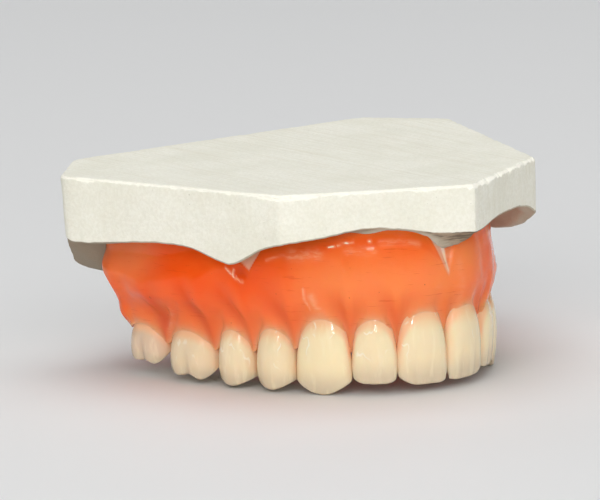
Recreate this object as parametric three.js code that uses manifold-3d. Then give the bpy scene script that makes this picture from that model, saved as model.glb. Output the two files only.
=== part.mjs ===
// Upper full denture set up in wax on its trimmed plaster cast, teeth down.
// Millimetres, +Z up. The front of the mouth faces -Y and the patient's left is +X.
// The origin is on the ground under the middle of the object.
import * as THREE from 'three';
import { mergeVertices } from 'three/addons/utils/BufferGeometryUtils.js';
import Module from 'manifold-3d';

const wasm = await Module();
wasm.setup();

// Cast base, seen from above, measured from its straight back wall
const castLength = 58;
const castHalfWidth = 34.8;
const heelCorner = 10.5;
const canineCorner = 46.1;
const canineCornerHalfWidth = 22.8;
const backHalfWidth = 26.05;
const frontTipOffset = 2.56;
const castCentreFromBack = 26.1;

// Depth of the rim's lower edge below the flat top, along each wall from 0 to 1
const sideRim = [[0, 9.7], [0.12, 9.6], [0.3, 8.8], [0.45, 8.4], [0.58, 8.6], [0.66, 9.5], [0.77, 10.9],
  [0.84, 9.3], [0.92, 7.8], [1, 7]];
const rightFrontRim = [[0, 7], [0.2, 6.5], [0.4, 5.8], [0.58, 5.5], [0.75, 6.3], [1, 6.8]];
const leftFrontRim = [[0, 6.8], [0.08, 7], [0.25, 6.4], [0.42, 5.9], [0.7, 6.1], [0.88, 6.8], [1, 8.2]];
const leftSideRim = [[0, 8.2], [0.14, 10.6], [0.3, 12.1], [0.43, 12.8], [0.55, 10.6], [0.7, 8.9], [1, 9.7]];
const rimWidth = 1.6;
const rimFall = 2.4;
const sulcusRise = 1.5;

// Ridge and palate of the cast. The ridge takes its rear form at ridgeTurn along the arch
const frontRidgeDepth = 14.6;
const rearRidgeDepth = 16.4;
const ridgeTurn = 31.7;
const ridgeHalfWidth = 1;
const frontRidgeInset = 5;
const rearRidgeInset = 4;
const palateDepth = 9.5;
const palateSlopeWidth = 11;
const frontSulcusOffset = 0;
const sideSulcusOffset = 3.2;
const heelSulcusOffset = 8;
const heelSulcusDepth = 10;
const heelBlend = 2;

// Labial frenum of the cast and its notch in the wax
const frenumOffset = 0.7;
const frenumDepth = 12.8;
const frenumHalfWidth = 5.6;
const frenumReach = 4.6;
const frenumFoot = 2;
const notchDepth = 13.8;
const notchHalfWidth = 6.3;
const notchReach = 2.5;

// Dental arch through the biting edges, half of a squared ellipse on each side
const archRightHalfWidth = 26.3;
const archLeftHalfWidth = 25.2;
const archLength = 59.6;
const archFront = 3.9;
const archSquareness = 2.15;

// Denture base
const castClearance = 0.3;
const socketClearance = 0.28;
const baseThickness = 2.2;
const waxOverCanine = 2.5;
const tuberosityLength = 4.6;
const tuberosityRound = 6;
const tuberosityRise = 6;
const frontFlareRight = 0.2;
const frontFlareLeft = -0.5;
const midlineBlend = 4;
const sideFlare = 3.3;
const flareStart = 22;
const flareEnd = 46;
const frontBorderRoll = 0.36;
const sideBorderRoll = 1.56;
const frontBorderDepth = 5.5;
const sideBorderDepth = 11;
const envelopeTop = 3;
const gumOverlap = 0.6;
const papillaSink = 1.1;
const rootEminence = 0.55;
const midlineDrop = 2.8;
const palatalMarginDrop = 2.2;
const palatalPapillaDrop = 0.8;
const shoulderWidth = 0.6;
const shoulderRise = 0.8;
const spineSetback = 12;
const palateBorderInset = 7.5;

// Seating of the teeth
const contactGap = 0.36;
const rootLap = 1.5;
const tipRounding = 0.5;
const cuspInset = 1.4;

// Teeth from the midline backwards. Lift is the height of the tip over the ground and crown is the
// height of the gum margin over the tip. Drop is how far the gum comes down at the distal papilla,
// and stand out is how far the tooth stands outward of the arch

// Central incisor
const centralWidth = 7.7;
const centralCrown = 10.45;
const centralDepth = 6.4;
const centralLift = 1.2;
const centralDrop = 4.4;
const centralStandOut = -0.1;
const centralFrontCornerRise = 0.7;
const centralRearCornerRise = 1.5;

// Lateral incisor
const lateralWidth = 6.6;
const lateralCrown = 9.3;
const lateralDepth = 5.8;
const lateralLift = 1.6;
const lateralDrop = 3.3;
const lateralStandOut = 0;
const lateralFrontCornerRise = 1.2;
const lateralRearCornerRise = 1.7;

// Canine
const canineWidth = 8.3;
const canineCrown = 10.9;
const canineDepth = 7.4;
const canineLift = 0;
const canineDrop = 3.6;
const canineStandOut = 0.2;
const canineCornerRise = 2.6;

// First premolar
const firstPremolarWidth = 6.6;
const firstPremolarCrown = 8.9;
const firstPremolarDepth = 8.4;
const firstPremolarLift = 0.35;
const firstPremolarDrop = 3.5;
const firstPremolarStandOut = 0.8;
const firstPremolarCheekCusp = 1.9;
const firstPremolarTongueCusp = 1.3;
const firstPremolarFossa = 1.9;
const firstPremolarCuspReach = 2.4;

// Second premolar
const secondPremolarWidth = 6.5;
const secondPremolarCrown = 8.2;
const secondPremolarDepth = 8.4;
const secondPremolarLift = 0.35;
const secondPremolarDrop = 3.3;
const secondPremolarStandOut = 0.8;
const secondPremolarCheekCusp = 1.8;
const secondPremolarTongueCusp = 1.4;
const secondPremolarFossa = 1.8;
const secondPremolarCuspReach = 2.4;

// First molar
const firstMolarWidth = 9.3;
const firstMolarCrown = 7.2;
const firstMolarDepth = 9.8;
const firstMolarLift = 0.45;
const firstMolarDrop = 3;
const firstMolarStandOut = 0.9;
const firstMolarFrontCheekCusp = 1.7;
const firstMolarRearCheekCusp = 1.4;
const firstMolarFrontTongueCusp = 1.6;
const firstMolarRearTongueCusp = 1.1;
const firstMolarFossa = 1.8;
const firstMolarCuspReach = 1.9;

// Second molar
const secondMolarWidth = 7.8;
const secondMolarCrown = 6.2;
const secondMolarDepth = 9.4;
const secondMolarLift = 1.5;
const secondMolarDrop = 0.6;
const secondMolarStandOut = 0.8;
const secondMolarFrontCheekCusp = 1.6;
const secondMolarRearCheekCusp = 1.3;
const secondMolarFrontTongueCusp = 1.5;
const secondMolarRearTongueCusp = 1;
const secondMolarFossa = 1.7;
const secondMolarCuspReach = 1.7;

// The same sizes by tooth. A cusp is given by its place along the tooth, its side and its height
const teeth = [
  {
    name: 'central_incisor',
    kind: 'cutting',
    width: centralWidth,
    crown: centralCrown,
    depth: centralDepth,
    lift: centralLift,
    drop: centralDrop,
    standOut: centralStandOut,
    corner: [centralFrontCornerRise, centralRearCornerRise],
    sharpness: 6,
  },
  {
    name: 'lateral_incisor',
    kind: 'cutting',
    width: lateralWidth,
    crown: lateralCrown,
    depth: lateralDepth,
    lift: lateralLift,
    drop: lateralDrop,
    standOut: lateralStandOut,
    corner: [lateralFrontCornerRise, lateralRearCornerRise],
    sharpness: 4.5,
  },
  {
    name: 'canine',
    kind: 'cutting',
    width: canineWidth,
    crown: canineCrown,
    depth: canineDepth,
    lift: canineLift,
    drop: canineDrop,
    standOut: canineStandOut,
    corner: [canineCornerRise, canineCornerRise],
    sharpness: 1.5,
  },
  {
    name: 'first_premolar',
    kind: 'chewing',
    width: firstPremolarWidth,
    crown: firstPremolarCrown,
    depth: firstPremolarDepth,
    lift: firstPremolarLift,
    drop: firstPremolarDrop,
    standOut: firstPremolarStandOut,
    cusps: [
      [0, 1, firstPremolarCheekCusp],
      [0, -1, firstPremolarTongueCusp],
    ],
    fossa: firstPremolarFossa,
    cuspReach: firstPremolarCuspReach,
  },
  {
    name: 'second_premolar',
    kind: 'chewing',
    width: secondPremolarWidth,
    crown: secondPremolarCrown,
    depth: secondPremolarDepth,
    lift: secondPremolarLift,
    drop: secondPremolarDrop,
    standOut: secondPremolarStandOut,
    cusps: [
      [0, 1, secondPremolarCheekCusp],
      [0, -1, secondPremolarTongueCusp],
    ],
    fossa: secondPremolarFossa,
    cuspReach: secondPremolarCuspReach,
  },
  {
    name: 'first_molar',
    kind: 'chewing',
    width: firstMolarWidth,
    crown: firstMolarCrown,
    depth: firstMolarDepth,
    lift: firstMolarLift,
    drop: firstMolarDrop,
    standOut: firstMolarStandOut,
    cusps: [
      [-0.46, 1, firstMolarFrontCheekCusp],
      [0.5, 1, firstMolarRearCheekCusp],
      [-0.4, -1, firstMolarFrontTongueCusp],
      [0.45, -1, firstMolarRearTongueCusp],
    ],
    fossa: firstMolarFossa,
    cuspReach: firstMolarCuspReach,
  },
  {
    name: 'second_molar',
    kind: 'chewing',
    width: secondMolarWidth,
    crown: secondMolarCrown,
    depth: secondMolarDepth,
    lift: secondMolarLift,
    drop: secondMolarDrop,
    standOut: secondMolarStandOut,
    cusps: [
      [-0.46, 1, secondMolarFrontCheekCusp],
      [0.5, 1, secondMolarRearCheekCusp],
      [-0.4, -1, secondMolarFrontTongueCusp],
      [0.45, -1, secondMolarRearTongueCusp],
    ],
    fossa: secondMolarFossa,
    cuspReach: secondMolarCuspReach,
  },
];

// Shape of a crown, as shares of its width: how much it narrows at the tip, the neck and the palate
const crownForms = {
  cutting: { tipTaper: 0.1, neckTaper: 0.3, palatalTaper: 0.28, roundness: 0.85 },
  chewing: { tipTaper: 0.14, neckTaper: 0.2, palatalTaper: 0.1, roundness: 0.75 },
};
const widestHeight = 0.3;
const neckCurve = 1.7;
const edgeBulge = 0.2;
const faceBulge = 0.8;
const edgeThickness = 1.1;
const cingulumLap = 0.8;
const crownFront = 1;
const palatalSlope = 0.5;
const papillaCurve = 2.2;

// Fineness of the surfaces. Steps run from 0 to 1 across each stretch
const sectionPoints = 20;
const wallSteps = [11, 9, 9, 11, 3, 12, 3];
const inwardSteps = [0, 0.03, 0.07, 0.12, 0.18, 0.24, 0.3, 0.36, 0.43, 0.52, 0.64, 0.8];
const crownSteps = [1, 0.76, 0.54, 0.33, 0.14, 0];
const edgeSteps = [0.5];
const cuspSteps = [0.66, 0.33];
const flangeSteps = [1, 0.8, 0.6, 0.42, 0.26, 0.12, 0];
const palateSteps = [0.2, 0.4, 0.7, 1];
const tuberositySteps = [0, 0.3, 0.55, 0.75, 0.9, 1];
const stationsPerTooth = 6;
const archSamples = 240;
const cutGrid = 0.004;
const trimOverhang = 8;

// Colours
const plasterColour = '#e6e4d6';
const waxColour = '#e8582a';
const toothColour = '#f0dfbc';

const clamp01 = (v) => Math.min(1, Math.max(0, v));
const lerp = (a, b, t) => a + (b - a) * t;
const smooth = (a, b, v) => {
  const t = clamp01((v - a) / (b - a));
  return t * t * (3 - 2 * t);
};
const signedPower = (v, e) => Math.sign(v) * Math.abs(v) ** e;
const backWall = castLength / 2;
const archFrontY = archFront - backWall;

// Height over the ground: the canine's crown and root, the wax over it and the cast above its ridge
const totalHeight = canineCrown + rootLap + waxOverCanine + frontRidgeDepth;

// Reads a stepped profile of [position, value] pairs with straight lines between them
function profile(pairs, t) {
  const next = pairs.findIndex((pair) => pair[0] >= t);
  if (next <= 0) {
    return next === 0 ? pairs[0][1] : pairs[pairs.length - 1][1];
  }
  const [t0, v0] = pairs[next - 1];
  const [t1, v1] = pairs[next];
  return lerp(v0, v1, (t - t0) / (t1 - t0));
}

// Points of half the dental arch, with their distance s along it from the midline
function archHalf(halfWidth) {
  const points = [];
  for (let i = 0; i <= archSamples; i++) {
    const angle = (i / archSamples) * Math.PI / 2;
    const wide = (Math.sin(angle) / halfWidth) ** archSquareness;
    const long = (Math.cos(angle) / archLength) ** archSquareness;
    const radius = (wide + long) ** (-1 / archSquareness);
    const x = radius * Math.sin(angle);
    const y = archFrontY + archLength - radius * Math.cos(angle);
    const last = points[i - 1] || { x, y, s: 0 };
    points.push({ x, y, s: last.s + Math.hypot(x - last.x, y - last.y) });
  }
  return points;
}

const rightArch = archHalf(archRightHalfWidth);
const leftArch = archHalf(archLeftHalfWidth);

// Point and directions on the arch at the distance s from the midline, patient's left positive
function archAt(s) {
  const side = s < 0 ? -1 : 1;
  const points = s < 0 ? rightArch : leftArch;
  const distance = Math.abs(s);
  const found = points.findIndex((point) => point.s > distance);
  const i = found < 1 ? points.length - 1 : found;
  const a = points[i - 1];
  const b = points[i];
  const length = b.s - a.s;
  const t = (distance - a.s) / length;
  const tangent = distance === 0 ? { x: 1, y: 0 } : { x: (b.x - a.x) / length, y: (b.y - a.y) / length };
  return {
    x: side * lerp(a.x, b.x, t),
    y: lerp(a.y, b.y, t),
    turn: Math.atan2(tangent.y, tangent.x),
    outward: { x: side * tangent.y, y: -tangent.x },
  };
}

// Distance along the arch and distance outward from it, for any place in plan
function archPlace(x, y) {
  const points = x < 0 ? rightArch : leftArch;
  const px = Math.abs(x);
  let best = { squared: Infinity, s: 0, q: 0 };
  for (let i = 1; i < points.length; i++) {
    const a = points[i - 1];
    const b = points[i];
    const length = b.s - a.s;
    const tx = (b.x - a.x) / length;
    const ty = (b.y - a.y) / length;
    const along = Math.min(length, Math.max(0, (px - a.x) * tx + (y - a.y) * ty));
    const dx = px - a.x - tx * along;
    const dy = y - a.y - ty * along;
    const squared = dx * dx + dy * dy;
    if (squared < best.squared) {
      const out = dx * ty - dy * tx;
      best = { squared, s: a.s + along, q: Math.sign(out) * Math.sqrt(squared) };
    }
  }
  return best;
}

// Places of the teeth along the arch
let reached = 0;
for (const tooth of teeth) {
  tooth.start = reached;
  tooth.middle = reached + tooth.width / 2;
  reached += tooth.width;
  tooth.end = reached;
}
const rowEnd = reached;
const baseEnd = rowEnd + tuberosityLength;

// Plan outline of the cast, counter-clockwise from above, each wall with its rim profile
const corner = (x, fromBack) => new THREE.Vector2(x, backWall - fromBack);
const heelLeft = corner(castHalfWidth, heelCorner);
const heelRight = corner(-castHalfWidth, heelCorner);
const canineLeft = corner(canineCornerHalfWidth, canineCorner);
const canineRight = corner(-canineCornerHalfWidth, canineCorner);
const frontTip = corner(frontTipOffset, castLength);
const backLeft = corner(backHalfWidth, 0);
const backRight = corner(-backHalfWidth, 0);
const castCentre = corner(0, castCentreFromBack);
const heelRim = sideRim[0][1];
const walls = [
  { from: heelRight, to: canineRight, rim: sideRim },
  { from: canineRight, to: frontTip, rim: rightFrontRim },
  { from: frontTip, to: canineLeft, rim: leftFrontRim },
  { from: canineLeft, to: heelLeft, rim: leftSideRim },
  { from: heelLeft, to: backLeft, rim: [[0, heelRim], [1, 0]] },
  { from: backLeft, to: backRight, rim: [[0, 0], [1, 0]] },
  { from: backRight, to: heelRight, rim: [[0, 0], [1, heelRim]] },
];

// Distance inward from the nearest outer wall
function wallInset(x, y) {
  let inset = Infinity;
  for (const { from, to } of walls) {
    const dx = to.x - from.x;
    const dy = to.y - from.y;
    const away = (dx * (y - from.y) - dy * (x - from.x)) / Math.hypot(dx, dy);
    inset = Math.min(inset, away);
  }
  return inset;
}

// Depth of the ridge, its outer slope and the palate below the top of the cast
function ridgeDepth(s, q, rim) {
  const back = smooth(0, ridgeTurn, s);
  const heel = smooth(rowEnd - heelBlend, baseEnd + heelBlend, s);
  const crest = lerp(frontRidgeDepth, rearRidgeDepth, back);
  const inset = lerp(frontRidgeInset, rearRidgeInset, back);
  const sulcus = lerp(lerp(frontSulcusOffset, sideSulcusOffset, back), heelSulcusOffset, heel);
  const sulcusDepth = lerp(rim, heelSulcusDepth, heel) - sulcusRise * (1 - heel) * back;
  const outer = clamp01((q + inset - ridgeHalfWidth) / (sulcus + inset - ridgeHalfWidth));
  const outerSlope = (outer + smooth(0, 1, outer)) / 2;
  const inner = smooth(ridgeHalfWidth, ridgeHalfWidth + palateSlopeWidth, -q - inset);
  return lerp(lerp(crest, sulcusDepth, outerSlope), palateDepth, inner);
}

// Depth of the whole underside: the rim, the ridge and the labial frenum
function castDepth(x, y, rim) {
  const { s, q } = archPlace(x, y);
  const inset = Math.max(0, wallInset(x, y));
  const land = rim - sulcusRise * smooth(rimWidth, rimWidth + rimFall, inset);
  const ridge = ridgeDepth(s, q, rim);
  const aside = 1 - clamp01(Math.abs(x - frenumOffset) / frenumHalfWidth);
  const foot = smooth(-frontRidgeInset, -frenumFoot, q);
  const infront = y < 0 ? (1 - clamp01(q / frenumReach)) * foot : 0;
  return Math.max(land, ridge, frenumDepth * aside * infront);
}

// Closed mesh from a list of points and a list of faces
function solidFrom(points, faces) {
  const geometry = new THREE.BufferGeometry();
  geometry.setAttribute('position', new THREE.Float32BufferAttribute(points.flat(), 3));
  geometry.setIndex(faces.flat());
  return mergeVertices(geometry, cutGrid / 10);
}

// Body for cutting and joining, moved by the matrix
function toManifold(geometry, matrix = new THREE.Matrix4()) {
  const plain = geometry.clone().applyMatrix4(matrix);
  plain.deleteAttribute('normal');
  plain.deleteAttribute('uv');
  const merged = mergeVertices(plain, cutGrid / 10);
  const vertProperties = new Float32Array(merged.attributes.position.array);
  const triVerts = new Uint32Array(merged.index.array);
  return new wasm.Manifold(new wasm.Mesh({ numProp: 3, vertProperties, triVerts }));
}

// A cut body with its corners on a fine grid, without the slivers that close up there
function fromManifold(manifold) {
  const mesh = manifold.getMesh();
  const snapped = Array.from(mesh.vertProperties, (v) => Math.round(v / cutGrid) * cutGrid);
  const geometry = new THREE.BufferGeometry();
  geometry.setAttribute('position', new THREE.Float32BufferAttribute(snapped, 3));
  geometry.setIndex(Array.from(mesh.triVerts));
  const merged = mergeVertices(geometry, cutGrid / 10);
  const index = merged.index.array;
  const faces = new Map();
  for (let i = 0; i < index.length; i += 3) {
    const face = [index[i], index[i + 1], index[i + 2]];
    const key = [...face].sort((a, b) => a - b).join(' ');
    if (new Set(face).size === 3) {
      faces.set(key, faces.has(key) ? null : face);
    }
  }
  merged.setIndex([...faces.values()].filter((face) => face).flat());
  return merged;
}

// Places round the cast's outer walls, each with the depth of the rim there
function wallPlaces() {
  const places = [];
  walls.forEach(({ from, to, rim }, w) => {
    const shares = Array.from({ length: wallSteps[w] }, (_, i) => i / wallSteps[w]);
    if (from.x < frenumOffset && to.x > frenumOffset && from.y < 0) {
      shares.push((frenumOffset - from.x) / (to.x - from.x));
    }
    for (const t of shares.sort((a, b) => a - b)) {
      places.push({ x: lerp(from.x, to.x, t), y: lerp(from.y, to.y, t), rim: profile(rim, t) });
    }
  });
  return places;
}

// Rings of points over the cast's underside, from the walls inwards, and its middle point
function castRings() {
  const places = wallPlaces();
  const rings = inwardSteps.map((step) => places.map((place) => {
    const x = lerp(place.x, castCentre.x, step);
    const y = lerp(place.y, castCentre.y, step);
    const rim = lerp(place.rim, palateDepth, step ** 4);
    return [x, y, totalHeight - castDepth(x, y, rim)];
  }));
  const { x, y } = castCentre;
  return { rings, centre: [x, y, totalHeight - castDepth(x, y, palateDepth)] };
}

// The rings lowered by the clearance, more where the surface is steep, and carried out past the walls
function loweredRings({ rings, centre }) {
  const lowered = rings.map((ring, r) => ring.map((point, i) => {
    const [x, y, z] = point;
    const inner = r + 1 < rings.length ? rings[r + 1][i] : centre;
    const outer = r > 0 ? rings[r - 1][i] : point;
    const left = ring[(i + 1) % ring.length];
    const right = ring[(i + ring.length - 1) % ring.length];
    const slopes = [inner, outer, left, right].map((other) => {
      const run = Math.hypot(other[0] - x, other[1] - y);
      return run > 0 ? Math.abs(other[2] - z) / run : 0;
    });
    return [x, y, z - castClearance * Math.hypot(1, Math.max(...slopes))];
  }));
  const outside = lowered[0].map(([x, y, z]) => {
    const reach = 1 + trimOverhang / Math.hypot(x - castCentre.x, y - castCentre.y);
    return [lerp(castCentre.x, x, reach), lerp(castCentre.y, y, reach), z];
  });
  return { rings: [outside, ...lowered], centre: [centre[0], centre[1], centre[2] - castClearance] };
}

// Solid between the rings of the underside and a flat top
function castSolid({ rings, centre }, topHeight) {
  const top = rings[0].map(([x, y]) => [x, y, topHeight]);
  const all = [top, ...rings];
  const count = top.length;
  const points = [...all.flat(), centre, [castCentre.x, castCentre.y, topHeight]];
  const topCentre = points.length - 1;
  const bottomCentre = points.length - 2;
  const last = rings.length * count;
  const faces = [];
  for (let i = 0; i < count; i++) {
    const j = (i + 1) % count;
    for (let r = 0; r < rings.length; r++) {
      const a = r * count;
      const b = a + count;
      faces.push([a + i, b + i, a + j], [a + j, b + i, b + j]);
    }
    faces.push([last + i, bottomCentre, last + j], [topCentre, i, j]);
  }
  return solidFrom(points, faces);
}

// Height of the chewing or biting surface over the tip, at u across the tooth and v outward
function bitingHeight(tooth, u, v, halfWidth) {
  if (tooth.kind === 'cutting') {
    const end = tooth.corner[u < 0 ? 0 : 1];
    return end * Math.abs(u / halfWidth) ** tooth.sharpness;
  }
  const cuspRow = tooth.depth / 2 - cuspInset;
  const middle = crownFront - tooth.depth / 2;
  let height = tooth.fossa;
  for (const [along, across, size] of tooth.cusps) {
    const du = (u - along * halfWidth) / tooth.cuspReach;
    const dv = (v - middle - across * cuspRow) / tooth.cuspReach;
    height -= size * Math.exp(-du * du - dv * dv);
  }
  return Math.max(0, height);
}

// Outline of a tooth at the share f of its crown height, as {u, v}
function toothOutline(tooth, f, angle, halfWidth) {
  const form = crownForms[tooth.kind];
  const belowWidest = 1 - form.tipTaper * clamp01(1 - f / widestHeight) ** 2;
  const aboveWidest = 1 - form.neckTaper * Math.max(0, (f - widestHeight) / (1 - widestHeight)) ** neckCurve;
  const half = halfWidth * (f < widestHeight ? belowWidest : aboveWidest);
  const front = edgeBulge + faceBulge * Math.sin(Math.PI * clamp01(0.1 + f * 0.75));
  const back = tooth.kind === 'cutting'
    ? lerp(-edgeThickness, cingulumLap - tooth.depth, smooth(-0.1, 0.95, f))
    : crownFront - tooth.depth + palatalSlope * clamp01(1 - 2 * f) ** 2;
  const middle = tooth.kind === 'cutting' ? Math.max(back * 0.4, front - 2) : (front + back) / 2;
  const c = Math.cos(angle);
  const s = Math.sin(angle);
  return {
    u: half * signedPower(c, form.roundness) * (1 - form.palatalTaper * Math.max(0, -s)),
    v: middle + (s > 0 ? front - middle : middle - back) * signedPower(s, form.roundness),
  };
}

// Rings of points down a tooth from its root to its biting surface, and the middle of its tip.
// X runs backwards along the arch and Y inward, with the tip at the ground
function toothRings(tooth, grow) {
  const halfWidth = (tooth.width - contactGap) / 2;
  const rise = tooth.crown + rootLap;
  const axis = -tooth.depth / 4;
  const outlineAt = (height, i, swell) => {
    const angle = (i / sectionPoints) * Math.PI * 2;
    const { u, v } = toothOutline(tooth, height / tooth.crown, angle, halfWidth);
    const length = Math.hypot(u, v - axis);
    return { u: u + (u / length) * swell, v: v + ((v - axis) / length) * swell };
  };
  const rims = Array.from({ length: sectionPoints }, (_, i) => {
    const { u, v } = outlineAt(tipRounding, i, -tipRounding);
    return bitingHeight(tooth, u, v, halfWidth);
  });
  const rings = crownSteps.map((step) => rims.map((rim, i) => {
    const height = lerp(rim + tipRounding, rise, step);
    const { u, v } = outlineAt(height, i, grow);
    return [u, -v, height + (step === 1 ? grow : 0)];
  }));
  const edge = rims.map((rim, i) => {
    const { u, v } = outlineAt(rim + tipRounding, i, grow - tipRounding);
    return [u, -v, rim - grow];
  });
  const centreY = edge.reduce((sum, point) => sum + point[1], 0) / sectionPoints;
  const surface = (tooth.kind === 'cutting' ? edgeSteps : cuspSteps).map((step) => edge.map(([u, y]) => {
    const eu = u * step;
    const ey = lerp(centreY, y, step);
    return [eu, ey, bitingHeight(tooth, eu, -ey, halfWidth) - grow];
  }));
  const tip = [0, centreY, bitingHeight(tooth, 0, -centreY, halfWidth) - grow];
  return { rings: [...rings, edge, ...surface], tip, root: [0, -axis, rise + grow] };
}

// One tooth of the patient's left side, or its mirror image. grow swells it on every side
function toothBody(tooth, mirrored, grow) {
  const { rings, tip, root } = toothRings(tooth, grow);
  const points = [...rings.flat(), tip, root];
  const tipPoint = points.length - 2;
  const rootPoint = points.length - 1;
  const last = (rings.length - 1) * sectionPoints;
  const faces = [];
  for (let i = 0; i < sectionPoints; i++) {
    const j = (i + 1) % sectionPoints;
    for (let a = 0; a < last; a += sectionPoints) {
      const b = a + sectionPoints;
      faces.push([a + i, a + j, b + i], [a + j, b + j, b + i]);
    }
    faces.push([last + i, last + j, tipPoint], [rootPoint, j, i]);
  }
  if (mirrored) {
    points.forEach((point) => { point[0] *= -1; });
    faces.forEach((face) => face.reverse());
  }
  return solidFrom(points, faces);
}

// Value of a tooth's size at s, blended between the middles of neighbouring teeth
function blended(s, valueOf) {
  const middles = teeth.map((tooth) => [tooth.middle, valueOf(tooth)]);
  return profile([[0, middles[0][1]], ...middles], Math.abs(s));
}

const neckHeight = (tooth) => tooth.lift + tooth.crown;
const neckFace = (tooth) => tooth.standOut + toothOutline(tooth, 1, Math.PI / 2, tooth.width / 2).v;

// Gum margin at s: its height, how far it lies outward, and how near s is to a papilla
function gumMargin(s) {
  const distance = Math.abs(s);
  const offset = blended(s, neckFace) + gumOverlap;
  const index = teeth.findIndex((tooth) => distance <= tooth.end);
  if (index < 0) {
    const rearmost = teeth[teeth.length - 1];
    const past = (distance - rowEnd) / tuberosityLength;
    return { height: neckHeight(rearmost) - rearmost.drop + past * tuberosityRise, offset, papilla: 1 };
  }
  const tooth = teeth[index];
  const across = (distance - tooth.middle) / (tooth.width / 2);
  const neighbour = across < 0 ? teeth[Math.max(index - 1, 0)] : teeth[index + 1] || tooth;
  const outer = across < 0 ? neighbour : tooth;
  const drop = across < 0 && index === 0 ? midlineDrop : outer.drop;
  const shared = (neckHeight(tooth) + neckHeight(neighbour)) / 2 - drop;
  const papilla = Math.abs(across) ** papillaCurve;
  return { height: lerp(neckHeight(tooth), shared, papilla), offset, papilla };
}

// Points of the flange at s, from its border in the sulcus down to the gum margin, as [q, z]
function flangeSection(s, margin, side) {
  const frontFlare = lerp(frontFlareRight, frontFlareLeft, smooth(-midlineBlend, midlineBlend, s));
  const flare = lerp(frontFlare, sideFlare, side);
  const roll = lerp(frontBorderRoll, sideBorderRoll, side);
  const borderHeight = totalHeight - lerp(frontBorderDepth, sideBorderDepth, side);
  const section = flangeSteps.map((t) => {
    const nearMargin = 1 - smooth(0, 0.6, t);
    const sink = papillaSink * lerp(0.35, margin.papilla, nearMargin);
    const swell = rootEminence * (1 - margin.papilla) * Math.sin(Math.PI * clamp01(t * 1.25));
    const spread = flare * smooth(0, 0.7, t) - roll * smooth(0.7, 1, t);
    return [margin.offset + spread + swell - sink, lerp(margin.height, borderHeight, t)];
  });
  return [[section[0][0], totalHeight - envelopeTop], ...section];
}

// Section of the wax base at s, from the border round the flange and the palate to the midline
function baseSection(s) {
  const { x, y, outward } = archAt(s);
  const distance = Math.abs(s);
  const margin = gumMargin(s);
  const side = smooth(flareStart, flareEnd, distance);
  const round = clamp01((distance - baseEnd + tuberosityRound) / tuberosityRound);
  const turn = Math.sqrt(1 - 0.96 * round * round);
  const innerEdge = -lerp(frontRidgeInset, rearRidgeInset, side);
  const at = ([q, z]) => {
    const squeezed = innerEdge + (q - innerEdge) * turn;
    return [x + outward.x * squeezed, y + outward.y * squeezed, z];
  };
  const depth = blended(s, (tooth) => tooth.depth);
  const palatalNeck = blended(s, neckHeight) - palatalMarginDrop - margin.papilla * palatalPapillaDrop;
  const palatal = lerp(palatalNeck, margin.height, smooth(0, 0.7, round));
  const innerOffset = margin.offset - gumOverlap - depth;
  const underTooth = at([margin.offset - depth / 2, Math.min(margin.height, palatal) + castClearance]);
  const innerMargin = at([innerOffset + shoulderWidth, palatal]);
  const shoulder = at([innerOffset - shoulderWidth, palatal + shoulderRise]);
  const spineY = lerp(archFrontY + spineSetback, backWall - palateBorderInset, (distance / baseEnd) ** 0.8);
  const palate = palateSteps.map((t) => {
    const px = lerp(shoulder[0], 0, t);
    const py = lerp(shoulder[1], spineY, t);
    const plate = totalHeight - castDepth(px, py, palateDepth) - baseThickness;
    return [px, py, lerp(shoulder[2], plate, smooth(0, 0.55, t))];
  });
  const flange = flangeSection(s, margin, side).map(at);
  return [...flange, underTooth, innerMargin, shoulder, ...palate, [0, spineY, totalHeight - envelopeTop]];
}

// Closed body through the sections of the base from the right tuberosity to the left
function sweptBase() {
  const stations = [];
  for (const tooth of teeth) {
    for (let i = 0; i < stationsPerTooth; i++) {
      stations.push(tooth.start + (tooth.width * i) / stationsPerTooth);
    }
  }
  stations.push(...tuberositySteps.map((t) => lerp(rowEnd, baseEnd, t)));
  const right = stations.slice(1).reverse().map((s) => -s);
  const sections = [...right, ...stations].map(baseSection);
  const stride = sections[0].length;
  const points = sections.flat();
  const faces = [];
  for (let a = 0; a + stride < points.length; a += stride) {
    const b = a + stride;
    for (let j = 0; j + 2 < stride; j++) {
      faces.push([a + j, a + j + 1, b + j], [b + j, a + j + 1, b + j + 1]);
    }
    faces.push([a, b, b + stride - 1], [a, b + stride - 1, a + stride - 1]);
  }
  const last = points.length - stride;
  const rear = points.slice(last).map(([x, , z]) => new THREE.Vector2(x, z));
  const clockwise = THREE.ShapeUtils.isClockWise(rear);
  for (const face of THREE.ShapeUtils.triangulateShape(rear, [])) {
    const same = THREE.ShapeUtils.isClockWise(face.map((i) => rear[i])) === clockwise;
    const [i, j, k] = same ? face : [...face].reverse();
    faces.push([k, j, i], [last + i, last + j, last + k]);
  }
  return solidFrom(points, faces);
}

// Wedge that opens the wax over the labial frenum
function frenumNotch() {
  const shape = new THREE.Shape();
  shape.moveTo(0, -notchDepth);
  shape.lineTo(notchHalfWidth, 0);
  shape.lineTo(-notchHalfWidth, 0);
  shape.closePath();
  const depth = trimOverhang + notchReach;
  const wedge = new THREE.ExtrudeGeometry(shape, { depth, bevelEnabled: false });
  wedge.rotateX(Math.PI / 2);
  wedge.translate(frenumOffset, archFrontY + notchReach, totalHeight);
  return wedge;
}

const group = new THREE.Group();

function addPiece(name, geometry, colour, roughness) {
  const material = new THREE.MeshStandardMaterial({ color: colour, roughness, metalness: 0 });
  const mesh = new THREE.Mesh(geometry, material);
  mesh.name = name;
  group.add(mesh);
  return mesh;
}

const underside = castRings();
addPiece('plaster_cast', castSolid(underside, totalHeight), plasterColour, 0.9);

let wax = toManifold(sweptBase());
wax = wax.subtract(toManifold(castSolid(loweredRings(underside), totalHeight + castClearance)));
wax = wax.subtract(toManifold(frenumNotch()));

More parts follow.
